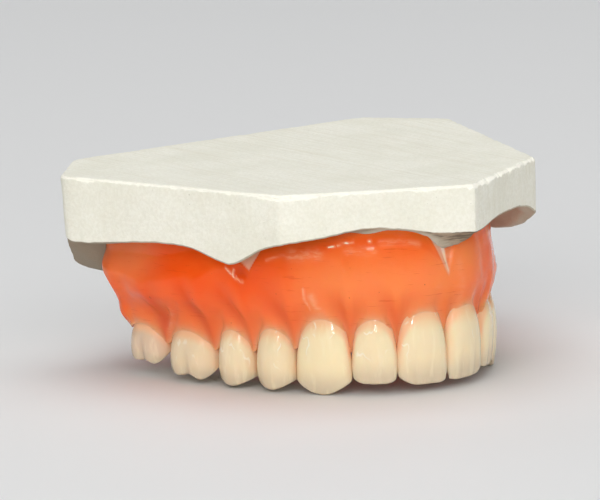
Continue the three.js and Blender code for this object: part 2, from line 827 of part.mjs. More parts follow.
for (const tooth of teeth) {
  for (const [side, sign] of [['left', 1], ['right', -1]]) {
    const { x, y, turn, outward } = archAt(sign * tooth.middle);
    const mesh = addPiece(`${side}_${tooth.name}`, toothBody(tooth, sign < 0, 0), toothColour, 0.3);
    mesh.position.set(x + outward.x * tooth.standOut, y + outward.y * tooth.standOut, tooth.lift);
    mesh.rotation.z = sign * turn;
    mesh.updateMatrix();
    wax = wax.subtract(toManifold(toothBody(tooth, sign < 0, socketClearance), mesh.matrix));
  }
}

addPiece('denture_base', fromManifold(wax), waxColour, 0.25);

export default group;
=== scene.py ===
# Upper full denture in orange wax on its plaster cast: finished surfaces, materials, light and camera.
# Shapes are worked out in millimetres, in the frame of the CAD model, and turned to metres at the end.
import math
import bpy
import numpy as np
from mathutils import Matrix, Vector


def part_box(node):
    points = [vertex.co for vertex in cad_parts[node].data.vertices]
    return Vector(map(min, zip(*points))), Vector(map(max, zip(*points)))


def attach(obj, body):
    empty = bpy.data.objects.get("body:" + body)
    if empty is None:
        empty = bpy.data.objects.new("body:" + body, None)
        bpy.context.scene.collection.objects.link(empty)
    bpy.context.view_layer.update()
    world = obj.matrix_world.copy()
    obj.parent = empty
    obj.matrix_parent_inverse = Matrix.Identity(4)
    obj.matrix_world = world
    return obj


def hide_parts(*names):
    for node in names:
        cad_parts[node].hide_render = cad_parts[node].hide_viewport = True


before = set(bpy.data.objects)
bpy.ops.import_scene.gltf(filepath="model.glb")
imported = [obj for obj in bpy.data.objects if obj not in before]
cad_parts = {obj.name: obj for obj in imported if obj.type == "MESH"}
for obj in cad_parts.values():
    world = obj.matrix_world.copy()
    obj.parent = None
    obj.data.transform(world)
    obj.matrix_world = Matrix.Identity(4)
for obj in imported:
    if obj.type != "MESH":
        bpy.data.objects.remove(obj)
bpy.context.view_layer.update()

MM = 0.001
CAST_HALF_WIDTH, BACK_WALL, TOTAL_HEIGHT = (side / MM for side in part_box("plaster_cast")[1])

# Plan of the cast, measured from its straight back wall
HEEL_CORNER = 10.5
CANINE_CORNER = 46.1
CANINE_CORNER_HALF_WIDTH = 22.8
BACK_HALF_WIDTH = 26.05
FRONT_TIP_OFFSET = 2.56
CAST_CENTRE_FROM_BACK = 26.1
CAST_LENGTH = 2 * BACK_WALL

# Depth of the rim below the flat top along each wall, as pairs of place and depth
SIDE_RIM = [(0, 9.7), (0.12, 9.6), (0.3, 8.8), (0.45, 8.4), (0.58, 8.6), (0.66, 9.5), (0.77, 10.9),
            (0.84, 9.3), (0.92, 7.8), (1, 7)]
RIGHT_FRONT_RIM = [(0, 7), (0.2, 6.5), (0.38, 5.6), (0.5, 5.35), (0.57, 5.5), (0.65, 5.85), (0.75, 6.4),
                   (0.85, 6.8), (1, 7)]
LEFT_FRONT_RIM = [(0, 7), (0.08, 7), (0.25, 6.4), (0.42, 5.9), (0.7, 6.1), (0.88, 6.8), (1, 8.2)]
LEFT_SIDE_RIM = [(0, 8.2), (0.14, 10.6), (0.3, 12.1), (0.43, 12.8), (0.55, 10.6), (0.7, 8.9), (1, 9.7)]
HEEL_RIM = SIDE_RIM[0][1]
RIM_SMOOTHING = 1.1
RIM_WIDTH = 1.6
RIM_FALL = 2.4
SULCUS_RISE = 1.5
HEEL_LEAN = 0.55

# Ridge, palate and labial frenum of the cast
FRONT_RIDGE_DEPTH = 14.6
REAR_RIDGE_DEPTH = 16.4
RIDGE_TURN = 31.7
RIDGE_HALF_WIDTH = 1
FRONT_RIDGE_INSET = 5
REAR_RIDGE_INSET = 4
PALATE_DEPTH = 9.5
PALATE_SLOPE_WIDTH = 11
FRONT_SULCUS_OFFSET = 0
SIDE_SULCUS_OFFSET = 3.2
HEEL_SULCUS_OFFSET = 8
HEEL_SULCUS_DEPTH = 10
HEEL_BLEND = 2
FRENUM_OFFSET = -0.1
FRENUM_DEPTH = 12.8
FRENUM_STEP_DEPTH = 9.3
FRENUM_WIDTH = 6.4
FRENUM_LEFT_CURVE = 1.3
FRENUM_FOOT = 2
FRENUM_STEP = (-0.4, -1.8)
FRENUM_INSET = (0.4, 2.0)
SKIRT_RIGHT_END = (-14.5, -8.5)
SKIRT_LEFT_END = (2, -3)
SKIRT_INSET = (0.1, 1.1)
SKIRT_DROP = 1.45

# Dental arch through the biting edges
ARCH_RIGHT_HALF_WIDTH = 26.3
ARCH_LEFT_HALF_WIDTH = 25.2
ARCH_LENGTH = 59.6
ARCH_FRONT_Y = 3.9 - BACK_WALL
ARCH_SQUARENESS = 2.15
ARCH_SAMPLES = 240
POINTS_AT_ONCE = 4096

# Wax base
BASE_THICKNESS = 2.2
TUBEROSITY_LENGTH = 4.6
TUBEROSITY_ROUND = 6
TUBEROSITY_RISE = 6
FRONT_FLARE_RIGHT = 0.2
FRONT_FLARE_LEFT = -0.5
MIDLINE_BLEND = 4
SIDE_FLARE = 3.3
FLARE_START = 22
FLARE_END = 46
FRONT_BORDER_ROLL = 0.36
SIDE_BORDER_ROLL = 1.56
FRONT_BORDER_DEPTH = 5.5
SIDE_BORDER_DEPTH = 11
GUM_OVERLAP = 0.6
PAPILLA_SINK = 0.8
ROOT_EMINENCE = 0.5
FURROW_DEPTHS = (0.3, 0.32, 0.36, 0.36, 0.4, 0.45, 0)
FURROW_WIDTHS = (1.8, 2.8)
FURROW_REACHES = (0.5, 0.5, 0.55, 0.6, 0.65, 0.65, 0.5)
LEAN_PLACES = (0, 14, 22, 28.7, 35.2, 44.5, 52.8)
LEAN = (0, 0.2, 0.52, 0.8, 0.62, -0.1, -0.1)
MIDLINE_DROP = 2.8
PALATAL_MARGIN_DROP = 2.2
PALATAL_PAPILLA_DROP = 0.8
SHOULDER_WIDTH = 0.6
SHOULDER_RISE = 0.8
SPINE_SETBACK = 12
PALATE_BORDER_INSET = 7.5
SEAT_GAP = 0.02
LIP_WIDTH = 1.5
LIP_THICKNESS = 0.4
LIP_SINK = 0.05
FACE_FLOOR = 2
FLARE_SHARE = 0.7
EMBRASURE_DEPTH = 1
EMBRASURE_FILL = 0.5
EMBRASURE_HEIGHT = 4
COLLAR_BLEND = 0.5
COLLAR_MEAN = (1.6, 13, 1.0)
COLLAR_RISE = (0.1, 1.1)
RISE_START = 0.5
FRONT_RISE = 3.8
SIDE_RISE = 5.6
FRONT_EVENNESS = 0.35
SIDE_EVENNESS = 0.9
END_TURN = 1.4
END_TURN_HEIGHT = 1.9

# Swell and waist of the wax above the second molars: size, height over the ground and width
REAR_SWELL = (0.32, 9, 1.1)
REAR_WAIST = (0.8, 13.5, 2.2)
REAR_FORM = (44, 51)

# Teeth from the midline backwards: lift of the tip, drop and thread of the papilla behind each tooth
FRONT_TOOTH = dict(cutting=True, neck=0.31, palatal=0.28, roundness=0.86)
REAR_TOOTH = dict(cutting=False, palatal=0.1, roundness=0.8)
TEETH = [
    dict(FRONT_TOOTH, name="central_incisor", width=7.7, crown=10.45, depth=6.4, lift=1.2, drop=4.4,
         thread=2.4, stand_out=-0.1, corner=(0.7, 2.5), sharpness=(6, 3.4), tip=0.14, tone=0.8),
    dict(FRONT_TOOTH, name="lateral_incisor", width=6.6, crown=9.3, depth=5.8, lift=1.6, drop=3.3,
         thread=5.5, stand_out=0, corner=(1.3, 1.7), sharpness=(4.8, 3.8), tip=0.16, tone=0.85),
    dict(FRONT_TOOTH, name="canine", width=8.3, crown=10.9, depth=7.4, lift=0, drop=3.6,
         thread=1.9, stand_out=0.2, corner=(2.6, 2.6), sharpness=(1.9, 1.9), tip=0.12, tone=1),
    dict(REAR_TOOTH, name="first_premolar", width=6.6, crown=8.9, depth=8.4, lift=0.35, drop=3.5,
         thread=1.4, neck=0.27, stand_out=0.8, tip=0.25, tone=0.75,
         cusps=((0, 1, 1.9), (0, -1, 1.3)), fossa=1.9, reach=2.4, ends=0),
    dict(REAR_TOOTH, name="second_premolar", width=6.5, crown=8.2, depth=8.4, lift=0.35, drop=3.3,
         thread=0.3, neck=0.27, stand_out=0.8, tip=0.25, tone=0.7,
         cusps=((0, 1, 1.8), (0, -1, 1.4)), fossa=1.8, reach=2.4, ends=0),
    dict(REAR_TOOTH, name="first_molar", width=9.3, crown=7.2, depth=9.8, lift=0.45, drop=3,
         thread=0, neck=0.17, stand_out=0.9, tip=0.3, tone=0.5, fossa=1.8, reach=1.7, ends=0.9,
         cusps=((-0.46, 1, 1.65), (0.32, 1, 1.3), (-0.4, -1, 1.5), (0.32, -1, 1.1))),
    dict(REAR_TOOTH, name="second_molar", width=7.8, crown=5.95, depth=9.4, lift=1.75, drop=1.5,
         thread=0, neck=0.14, stand_out=0.8, tip=0.3, tone=0, fossa=1.7, reach=1.5, ends=0.9,
         cusps=((-0.44, 1, 1.6), (0.32, 1, 1.3), (-0.4, -1, 1.5), (0.32, -1, 1))),
]
CONTACT_GAP = 0.04
ROOT_LAP = 1.5
TIP_ROUNDING = 0.5
CUSP_INSET = 1.4
WIDEST_HEIGHT = 0.3
NECK_CURVE = 1.7
EDGE_BULGE = 0.2
FACE_BULGE = 0.8
NECK_TURN = 0.3
NECK_TURN_START = 0.68
EDGE_THICKNESS = 1.1
CINGULUM_LAP = 0.8
CROWN_FRONT = 1
PALATAL_SLOPE = 0.5
CANINE_RIDGE = 0.12
INCISOR_FURROW = 0.13
PREMOLAR_RIDGE = 0.16
PREMOLAR_FURROW = 0.08
MOLAR_LOBE = 0.22
MOLAR_GROOVE = 0.42
CENTRAL_GROOVE = 0.35
CONTACT_START = 0.72
PAPILLA_CURVE = 2.2
PAPILLA_ROUNDING = 0.45
THREAD_CURVE = 16
ROOT_BLEND = 1.3
MARGIN_SEARCH = (-3, 3, 121)
MARGIN_MEAN = (1.6, 9, 0.9)

# Mesh of the wax: stations, rows of the flange, and its soft waves as size, seed and height
STATION_SPACING = 0.2
FINE_SPANS = ((0.1, 4.1), (26.1, 32))
LIP_STEPS = np.array([0, 0.03, 0.08, 0.15, 0.24, 0.35, 0.48, 0.63, 0.8, 1.0, 1.25])
FLANGE_ROWS = 40
LEAST_FLANGE = 1.6
BORDER_TOP = 3
END_ROUNDNESS = 0.985
END_MARGIN_RISE = 0.6
UNDER_SHARES = (0.06, 0.15, 0.3, 0.45, 0.6, 0.75, 0.9)
UNDER_ARCH = 0.25
SPINE_CURVE = 0.8
WAX_WAVES = ((4.2, 5, 0.07), (1.8, 6, 0.035), (0.8, 7, 0.012))
MIDLINE_THREAD = 1.8


def clamp01(v):
    return np.clip(v, 0, 1)


def lerp(a, b, t):
    return a + (b - a) * t


def smooth(a, b, v):
    t = clamp01((v - a) / (b - a))
    return t * t * (3 - 2 * t)


def soft_max(a, b, k):
    return (a + b + np.sqrt((a - b) ** 2 + k * k)) / 2


def bell(v, width):
    return np.exp(-(v / width) ** 2)


def bell_shifts(reach, count, width):
    """Shifts on both sides of a place, each with its share in a bell-shaped mean."""
    shifts = np.linspace(-reach, reach, count)
    weights = bell(shifts, width)
    return list(zip(shifts, weights / weights.sum()))


def lattice(ix, iy, iz, seed):
    """A value from -1 to 1 that depends only on the four whole numbers."""
    h = (ix * 73856093) ^ (iy * 19349663) ^ (iz * 83492791) ^ (seed * 26544357)
    h = ((h ^ (h >> 13)) * 1274126177) & 0x7FFFFFFF
    return ((h ^ (h >> 16)) & 0xFFFF) / 32767.5 - 1


def field(points, size, seed):
    """Smooth random values from -1 to 1 with features of that size in millimetres."""
    g = np.asarray(points, float) / size
    cell = np.floor(g).astype(np.int64)
    f = g - cell
    f = f * f * (3 - 2 * f)
    total = 0
    for dx in (0, 1):
        for dy in (0, 1):
            for dz in (0, 1):
                weight = 1
                for axis, d in enumerate((dx, dy, dz)):
                    weight = weight * (f[..., axis] if d else 1 - f[..., axis])
                value = lattice(cell[..., 0] + dx, cell[..., 1] + dy, cell[..., 2] + dz, seed)
                total = total + weight * value
    return total


def waves(points, layers):
    """Sum of fields, each with its size, its seed and its height."""
    return sum(field(points, size, seed) * height for size, seed, height in layers)


# Dental arch
def arch_half(half_width):
    angle = np.linspace(0, np.pi / 2, ARCH_SAMPLES + 1)
    wide = (np.sin(angle) / half_width) ** ARCH_SQUARENESS
    deep = (np.cos(angle) / ARCH_LENGTH) ** ARCH_SQUARENESS
    radius = (wide + deep) ** (-1 / ARCH_SQUARENESS)
    x = radius * np.sin(angle)
    y = ARCH_FRONT_Y + ARCH_LENGTH - radius * np.cos(angle)
    s = np.concatenate(([0], np.cumsum(np.hypot(np.diff(x), np.diff(y)))))
    return x, y, s


right_x, right_y, right_s = arch_half(ARCH_RIGHT_HALF_WIDTH)
left_x, left_y, left_s = arch_half(ARCH_LEFT_HALF_WIDTH)
arch_x = np.concatenate((-right_x[:0:-1], left_x))
arch_y = np.concatenate((right_y[:0:-1], left_y))
arch_s = np.concatenate((-right_s[:0:-1], left_s))
slope_x = np.gradient(arch_x, arch_s)
slope_y = np.gradient(arch_y, arch_s)


def arch_at(s):
    """Place, direction along and direction outward on the arch, at s from the midline."""
    x = np.interp(s, arch_s, arch_x)
    y = np.interp(s, arch_s, arch_y)
    tx = np.interp(s, arch_s, slope_x)
    ty = np.interp(s, arch_s, slope_y)
    length = np.hypot(tx, ty)
    return x, y, tx / length, ty / length


def on_arch(s, q):
    x, y, tx, ty = arch_at(s)
    return x + ty * q, y - tx * q


def arch_place(x, y):
    """Distance from the midline along the arch, and distance outward from it."""
    ax, ay = arch_x[:-1], arch_y[:-1]
    length = np.diff(arch_s)
    tx = np.diff(arch_x) / length
    ty = np.diff(arch_y) / length
    flat_x, flat_y = np.ravel(x), np.ravel(y)
    s_out = np.empty(flat_x.size)
    q_out = np.empty(flat_x.size)
    for start in range(0, flat_x.size, POINTS_AT_ONCE):
        part = slice(start, start + POINTS_AT_ONCE)
        px, py = flat_x[part, None], flat_y[part, None]
        along = np.clip((px - ax) * tx + (py - ay) * ty, 0, length)
        dx = px - ax - tx * along
        dy = py - ay - ty * along
        squared = dx * dx + dy * dy
        best = squared.argmin(1)
        row = np.arange(best.size)
        out = dx[row, best] * ty[best] - dy[row, best] * tx[best]
        s_out[part] = arch_s[best] + along[row, best]
        q_out[part] = np.sign(out) * np.sqrt(squared[row, best])
    return s_out.reshape(np.shape(x)), q_out.reshape(np.shape(x))


reached = 0
for tooth in TEETH:
    tooth["middle"] = reached + tooth["width"] / 2
    reached += tooth["width"]
    tooth["end"] = reached
ROW_END = reached
BASE_END = ROW_END + TUBEROSITY_LENGTH

# Plan of the cast: corners counter-clockwise from above, each wall with its rim
corners = [
    (-CAST_HALF_WIDTH, HEEL_CORNER, SIDE_RIM),
    (-CANINE_CORNER_HALF_WIDTH, CANINE_CORNER, RIGHT_FRONT_RIM),
    (FRONT_TIP_OFFSET, CAST_LENGTH, LEFT_FRONT_RIM),
    (CANINE_CORNER_HALF_WIDTH, CANINE_CORNER, LEFT_SIDE_RIM),
    (CAST_HALF_WIDTH, HEEL_CORNER, [(0, HEEL_RIM), (1, 0)]),
    (BACK_HALF_WIDTH, 0, [(0, 0), (1, 0)]),
    (-BACK_HALF_WIDTH, 0, [(0, 0), (1, HEEL_RIM)]),
]
CENTRE = np.array((0, BACK_WALL - CAST_CENTRE_FROM_BACK))
WALLS = []
for k, (x0, from_back, rim) in enumerate(corners):
    x1, next_back, _ = corners[(k + 1) % len(corners)]
    WALLS.append((np.array((x0, BACK_WALL - from_back)), np.array((x1, BACK_WALL - next_back)), rim))


def wall_inset(x, y):
    inset = np.full(np.shape(x), np.inf)
    for a, b, _ in WALLS:
        d = (b - a) / np.hypot(*(b - a))
        inset = np.minimum(inset, d[0] * (y - a[1]) - d[1] * (x - a[0]))
    return np.maximum(inset, 0)


def rim_profile(pairs, t):
    return np.interp(t, [p[0] for p in pairs], [p[1] for p in pairs])


def blur_round(values, reach, spacing):
    """Smooths values given at even spacing round a closed line."""
    width = reach / spacing
    shifts = np.arange(-math.ceil(3 * width), math.ceil(3 * width) + 1)
    weights = np.exp(-0.5 * (shifts / width) ** 2)
    total = 0
    for shift, weight in zip(shifts, weights / weights.sum()):
        total = total + weight * np.roll(values, -shift, axis=0)
    return total


OUTLINE_SPACING = 0.2
wall_points, wall_rim, wall_number = [], [], []
for k, (a, b, rim) in enumerate(WALLS):
    t = np.linspace(0, 1, round(np.hypot(*(b - a)) / OUTLINE_SPACING), endpoint=False)
    wall_points.append(lerp(a[None, :], b[None, :], t[:, None]))
    wall_rim.append(rim_profile(rim, t))
    wall_number.append(np.full(t.size, k))
wall_points = np.concatenate(wall_points)
wall_number = np.concatenate(wall_number)
wall_rim = blur_round(np.concatenate(wall_rim), RIM_SMOOTHING, OUTLINE_SPACING)
wall_angle = np.arctan2(*(wall_points - CENTRE).T[::-1])
wall_reach = np.hypot(*(wall_points - CENTRE).T)


def ridge_depth(s, q, rim):
    s = np.abs(s)
    back = smooth(0, RIDGE_TURN, s)
    heel = smooth(ROW_END - HEEL_BLEND, BASE_END + HEEL_BLEND, s)
    crest = lerp(FRONT_RIDGE_DEPTH, REAR_RIDGE_DEPTH, back)
    inset = lerp(FRONT_RIDGE_INSET, REAR_RIDGE_INSET, back)
    sulcus = lerp(lerp(FRONT_SULCUS_OFFSET, SIDE_SULCUS_OFFSET, back), HEEL_SULCUS_OFFSET, heel)
    sulcus_depth = lerp(rim, HEEL_SULCUS_DEPTH, heel) - SULCUS_RISE * (1 - heel) * back
    outer = clamp01((q + inset - RIDGE_HALF_WIDTH) / (sulcus + inset - RIDGE_HALF_WIDTH))
    outer_slope = (outer + smooth(0, 1, outer)) / 2
    inner = smooth(RIDGE_HALF_WIDTH, RIDGE_HALF_WIDTH + PALATE_SLOPE_WIDTH, -q - inset)
    return lerp(lerp(crest, sulcus_depth, outer_slope), PALATE_DEPTH, inner)


def cast_height(x, y):
    """Height of the cast's moulded underside."""
    angle = np.arctan2(y - CENTRE[1], x - CENTRE[0])
    reach = np.interp(angle, wall_angle, wall_reach, period=2 * np.pi)
    step = clamp01(1 - np.hypot(x - CENTRE[0], y - CENTRE[1]) / reach)
    rim = lerp(np.interp(angle, wall_angle, wall_rim, period=2 * np.pi), PALATE_DEPTH, step ** 4)
    s, q = arch_place(x, y)
    inset = wall_inset(x, y)
    land = rim - SULCUS_RISE * smooth(RIM_WIDTH, RIM_WIDTH + RIM_FALL, inset)
    skirt = smooth(*SKIRT_RIGHT_END, x) * smooth(*SKIRT_LEFT_END, x) * (y < 0)
    land = land + SKIRT_DROP * skirt * smooth(*SKIRT_INSET, inset)
    ridge = ridge_depth(s, q, rim)
    aside = np.abs(x - FRENUM_OFFSET) / FRENUM_WIDTH
    foot = smooth(-FRONT_RIDGE_INSET, -FRENUM_FOOT, q)
    tent = np.where(y < 0, clamp01(1.04 - soft_max(aside, 0.1, 0.12)) * foot, 0)
    tent = np.where(x > FRENUM_OFFSET, tent ** FRENUM_LEFT_CURVE, tent) * smooth(*FRENUM_INSET, inset)
    frenum = lerp(land, lerp(FRENUM_STEP_DEPTH, FRENUM_DEPTH, smooth(*FRENUM_STEP, q)), tent)
    return TOTAL_HEIGHT - np.maximum(np.maximum(land, ridge), frenum)


# Teeth
def half_width(tooth, f):
    below = 1 - tooth["tip"] * clamp01(1 - f / WIDEST_HEIGHT) ** 2
    above = 1 - tooth["neck"] * np.maximum(0, (f - WIDEST_HEIGHT) / (1 - WIDEST_HEIGHT)) ** NECK_CURVE
    return (tooth["width"] - CONTACT_GAP) / 2 * np.where(f < WIDEST_HEIGHT, below, above)


def face_front(f):
    bulge = EDGE_BULGE + FACE_BULGE * np.sin(np.pi * clamp01(0.1 + f * 0.75))
    return bulge - NECK_TURN * clamp01((f - NECK_TURN_START) / (1 - NECK_TURN_START)) ** 2


def face_back(tooth, f):
    if tooth["cutting"]:
        return lerp(-EDGE_THICKNESS, CINGULUM_LAP - tooth["depth"], smooth(-0.1, 0.95, f))
    return CROWN_FRONT - tooth["depth"] + PALATAL_SLOPE * clamp01(1 - 2 * f) ** 2


def face_middle(tooth, f):
    if tooth["cutting"]:
        return np.maximum(face_back(tooth, f) * 0.4, face_front(f) - 2)
    return (face_front(f) + face_back(tooth, f)) / 2


def signed_power(v, e):
    return np.sign(v) * np.abs(v) ** e


def face_relief(tooth, u, f):
    """Carving of the cheek-side face: lobes and furrows, as a small depth added outward."""
    across = u / (tooth["width"] / 2)
    if tooth["name"] == "canine":
        ridge = CANINE_RIDGE * bell(across + 0.05, 0.42)
        return ridge * smooth(1, 0.5, f) * smooth(-0.1, 0.25, f) - 0.04
    if tooth["cutting"]:
        furrows = bell(across - 0.36, 0.15) + bell(across + 0.36, 0.15)
        return -INCISOR_FURROW * furrows * smooth(0.75, 0.15, f)
    if len(tooth["cusps"]) == 2:
        sides = bell(np.abs(across) - 0.55, 0.16)
        ridge = PREMOLAR_RIDGE * bell(across, 0.42) * smooth(0.95, 0.35, f)
        return ridge - PREMOLAR_FURROW * sides * smooth(0.7, 0.2, f)
    lobes = bell(across - 0.46, 0.3) + bell(across + 0.46, 0.3)
    groove = bell(across - 0.02, 0.15)
    return MOLAR_LOBE * lobes * smooth(0.95, 0.3, f) - MOLAR_GROOVE * groove * smooth(0.95, 0.1, f)


def biting_height(tooth, u, v):
    half = (tooth["width"] - CONTACT_GAP) / 2
    if tooth["cutting"]:
        end, sharpness = (np.where(u < 0, *tooth[key]) for key in ("corner", "sharpness"))
        return end * np.abs(u / half) ** sharpness
    row = tooth["depth"] / 2 - CUSP_INSET
    middle = CROWN_FRONT - tooth["depth"] / 2
    height = np.full(np.shape(u), tooth["fossa"])
    for along, across, size in tooth["cusps"]:
        du = (u - along * half) / tooth["reach"]
        dv = (v - middle - across * row) / tooth["reach"]
        height = height - size * np.exp(-du * du - dv * dv)
    height = height + tooth["ends"] * smooth(0.3, 1, np.abs(u) / half)
    inside = smooth(tooth["depth"] / 2, tooth["depth"] / 2 - 2, np.abs(v - middle))
    height = height + CENTRAL_GROOVE * inside * bell(v - middle, CENTRAL_GROOVE)
    return np.maximum(0, height)


def tooth_outline(tooth, f, angle, swell):
    front, back, middle = face_front(f), face_back(tooth, f), face_middle(tooth, f)
    c, s = np.cos(angle), np.sin(angle)
    narrowed = 1 - tooth["palatal"] * np.maximum(0, -s)
    u = half_width(tooth, f) * signed_power(c, tooth["roundness"]) * narrowed
    v = middle + np.where(s > 0, front - middle, middle - back) * signed_power(s, tooth["roundness"])
    v = v + face_relief(tooth, u, f) * smooth(0, 0.5, s)
    axis = -tooth["depth"] / 4
    length = np.hypot(u, v - axis)
    return u + u / length * swell, v + (v - axis) / length * swell


def tooth_points(tooth, columns=112, side_rows=46, round_rows=7, top_rows=14):
    """Grid of points in the tooth's own directions: u along the arch, v outward, height over its tip."""
    angle = np.linspace(0, 2 * np.pi, columns, endpoint=False)
    u0, v0 = tooth_outline(tooth, np.full(columns, TIP_ROUNDING / tooth["crown"]), angle, -TIP_ROUNDING)
    rim = biting_height(tooth, u0, v0)
    rise = tooth["crown"] + ROOT_LAP
    rows = []
    for step in np.linspace(1, 0, side_rows) ** 1.15:
        height = lerp(rim + TIP_ROUNDING, rise, step)
        u, v = tooth_outline(tooth, height / tooth["crown"], angle, 0)
        rows.append((u, v, height))
    edge_f = (rim + TIP_ROUNDING) / tooth["crown"]
    for turn in np.linspace(0, np.pi / 2, round_rows)[1:]:
        u, v = tooth_outline(tooth, edge_f, angle, -TIP_ROUNDING * (1 - math.cos(turn)))
        rows.append((u, v, rim + TIP_ROUNDING * (1 - math.sin(turn))))
    eu, ev, _ = rows[-1]
    centre = ev.mean()
    for step in np.linspace(1, 0, top_rows + 1)[1:-1]:
        u = eu * step
        v = lerp(centre, ev, step)
        rows.append((u, v, biting_height(tooth, u, v)))
    tip = (0, centre, float(biting_height(tooth, np.zeros(1), np.array([centre]))[0]))
    root = (0, -tooth["depth"] / 4, rise)
    grid = np.array([np.stack(row, -1) for row in rows])
    return grid, np.array(tip), np.array(root)


def grid_faces(rows, columns, closed):
    r = np.arange(rows - 1)[:, None] * columns
    c = np.arange(columns if closed else columns - 1)[None, :]
    n = (c + 1) % columns
    return np.stack((r + c, r + n, r + columns + n, r + columns + c), -1).reshape(-1, 4)


def fan(ring, centre, flip):
    nxt = np.roll(ring, -1)
    tri = [ring, nxt, np.full(ring.size, centre)]
    return np.stack(tri[::-1] if flip else tri, -1)


def link(item):
    bpy.context.scene.collection.objects.link(item)


def make_piece(name, points, faces, values, material):
    mesh = bpy.data.meshes.new(name)
    polygons = [face for block in faces for face in np.asarray(block).tolist()]
    mesh.from_pydata((np.asarray(points) * MM).tolist(), [], polygons)
    for key, value in values.items():
        layer = mesh.attributes.new(key, "FLOAT", "POINT")
        layer.data.foreach_set("value", np.asarray(value, np.float32).ravel())
    mesh.polygons.foreach_set("use_smooth", [True] * len(mesh.polygons))
    mesh.materials.append(material)
    mesh.validate()
    mesh.update()
    piece = bpy.data.objects.new(name, mesh)
    link(piece)
    return piece


def tooth_piece(tooth, side, material):
    """One tooth where the arch puts it. side is 1 for the patient's left and -1 for the right."""
    grid, tip, root = tooth_points(tooth)
    rows, columns, _ = grid.shape
    local = np.vstack((grid.reshape(-1, 3), tip, root))
    x, y, tx, ty = arch_at(side * tooth["middle"])
    u, v, h = local.T
    out = v + tooth["stand_out"]
    points_x = x + side * u * tx + out * ty
    points_y = y + side * u * ty - out * tx
    points = np.stack((points_x, points_y, h + tooth["lift"]), -1)
    faces = [grid_faces(rows, columns, True)]
    faces.append(fan(np.arange(columns), rows * columns + 1, True))
    faces.append(fan(np.arange(columns) + (rows - 1) * columns, rows * columns, False))
    if side > 0:
        faces = [np.asarray(block)[:, ::-1] for block in faces]
    margin, _ = gum_margin(side * (tooth["middle"] + u))
    share = h / tooth["crown"]
    beside = np.abs(u) / (tooth["width"] / 2)
    values = {
        "height": clamp01(share),
        "tone": np.full(h.size, tooth["tone"]),
        "gum": smooth(-1.4, 0.1, points[:, 2] - margin),
        # painted shade near the contacts between the teeth
        "contact_shade": smooth(CONTACT_START, 0.98, beside) * smooth(0.1, 0.35, share),
    }
    name = f"tooth_{'left' if side > 0 else 'right'}_{tooth['name']}"
    return make_piece(name, points, faces, values, material)


# Wax base
def per_tooth(key):
    return np.array([tooth[key] for tooth in TEETH], float)


MIDDLES = per_tooth("middle")
ENDS = per_tooth("end")
WIDTHS = per_tooth("width")
DROPS = per_tooth("drop")
THREADS = per_tooth("thread")
NECKS = per_tooth("lift") + per_tooth("crown")
NECK_FACES = per_tooth("stand_out") + float(face_front(np.array(1.0))) + NECK_TURN
DEPTHS = per_tooth("depth")


def blended(s, values):
    return np.interp(np.abs(s), MIDDLES, values)


def raw_margin(s):
    d = np.abs(s)
    index = np.clip(np.searchsorted(ENDS, d), 0, len(TEETH) - 1)
    across = (d - MIDDLES[index]) / (WIDTHS[index] / 2)
    neighbour = np.where(across < 0, np.maximum(index - 1, 0), np.minimum(index + 1, len(TEETH) - 1))

    def of_papilla(values, at_midline):
        return np.where(across < 0, np.where(index == 0, at_midline, values[neighbour]), values[index])

    drop = of_papilla(DROPS, MIDLINE_DROP)
    shared = (NECKS[index] + NECKS[neighbour]) / 2 - drop
    papilla = np.minimum(1, np.abs(across) ** PAPILLA_CURVE)
    thread = of_papilla(THREADS, MIDLINE_THREAD) * np.minimum(1, np.abs(across)) ** THREAD_CURVE
    height = lerp(NECKS[index], shared, papilla) - thread
    past = (d - ROW_END) / TUBEROSITY_LENGTH
    height = np.where(past > 0, NECKS[-1] - DROPS[-1] + past * TUBEROSITY_RISE, height)
    return height, np.where(past > 0, 1, papilla)


def gum_margin(s):
    """Height of the gum margin and nearness to a papilla, with the papilla tips a little rounded."""
    shifts = np.linspace(-PAPILLA_ROUNDING, PAPILLA_ROUNDING, 7)
    return np.mean([raw_margin(s + shift) for shift in shifts], axis=0)


def between_roots(s):
    """Nearness to a papilla, smoothed more for the soft relief of the wax."""
    shifts = np.linspace(-ROOT_BLEND, ROOT_BLEND, 9)
    return np.mean([raw_margin(s + shift)[1] for shift in shifts], axis=0)


def margin_distance(s, z):
    """Distance above the gum margin, measured along the wax."""
    best = np.full(z.shape, np.inf)
    for shift in np.linspace(*MARGIN_SEARCH):
        height, _ = gum_margin(s + shift)
        best = np.minimum(best, shift ** 2 + (z - height[:, None]) ** 2)
    height, _ = gum_margin(s)
    return np.sign(z - height[:, None]) * np.sqrt(best)


def soft_distance(s, z):
    """The same distance without the crease in the middle of each papilla."""
    total = 0
    for shift, weight in bell_shifts(*MARGIN_MEAN):
        total = total + weight * np.maximum(0, margin_distance(s + shift, z))
    return total


def tooth_face(s, z):
    """Outward offset of the teeth's faces, with their necks carried on upwards."""
    face = np.full(z.shape, -9.0)
    for side in (-1, 1):
        for tooth in TEETH:
            u = (side * s - tooth["middle"])[:, None] * np.ones_like(z)
            f = clamp01((z - tooth["lift"]) / tooth["crown"])
            half = half_width(tooth, f)
            across = clamp01(np.abs(u) / half)
            front, middle = face_front(f), face_middle(tooth, f)
            roundness = tooth["roundness"]
            bow = (1 - across ** (2 / roundness)) ** (roundness / 2)
            value = tooth["stand_out"] + middle + (front - middle) * bow
            face = np.where(across < 1, np.maximum(face, value), face)
    return np.maximum(face, -FACE_FLOOR)


def root_line(s, above):
    """Place at the margin of the root that leans over this place."""
    distance = np.abs(s)[:, None]
    lean = np.interp(distance, LEAN_PLACES, LEAN)
    return np.sign(s)[:, None] * np.maximum(0, distance - lean * above)


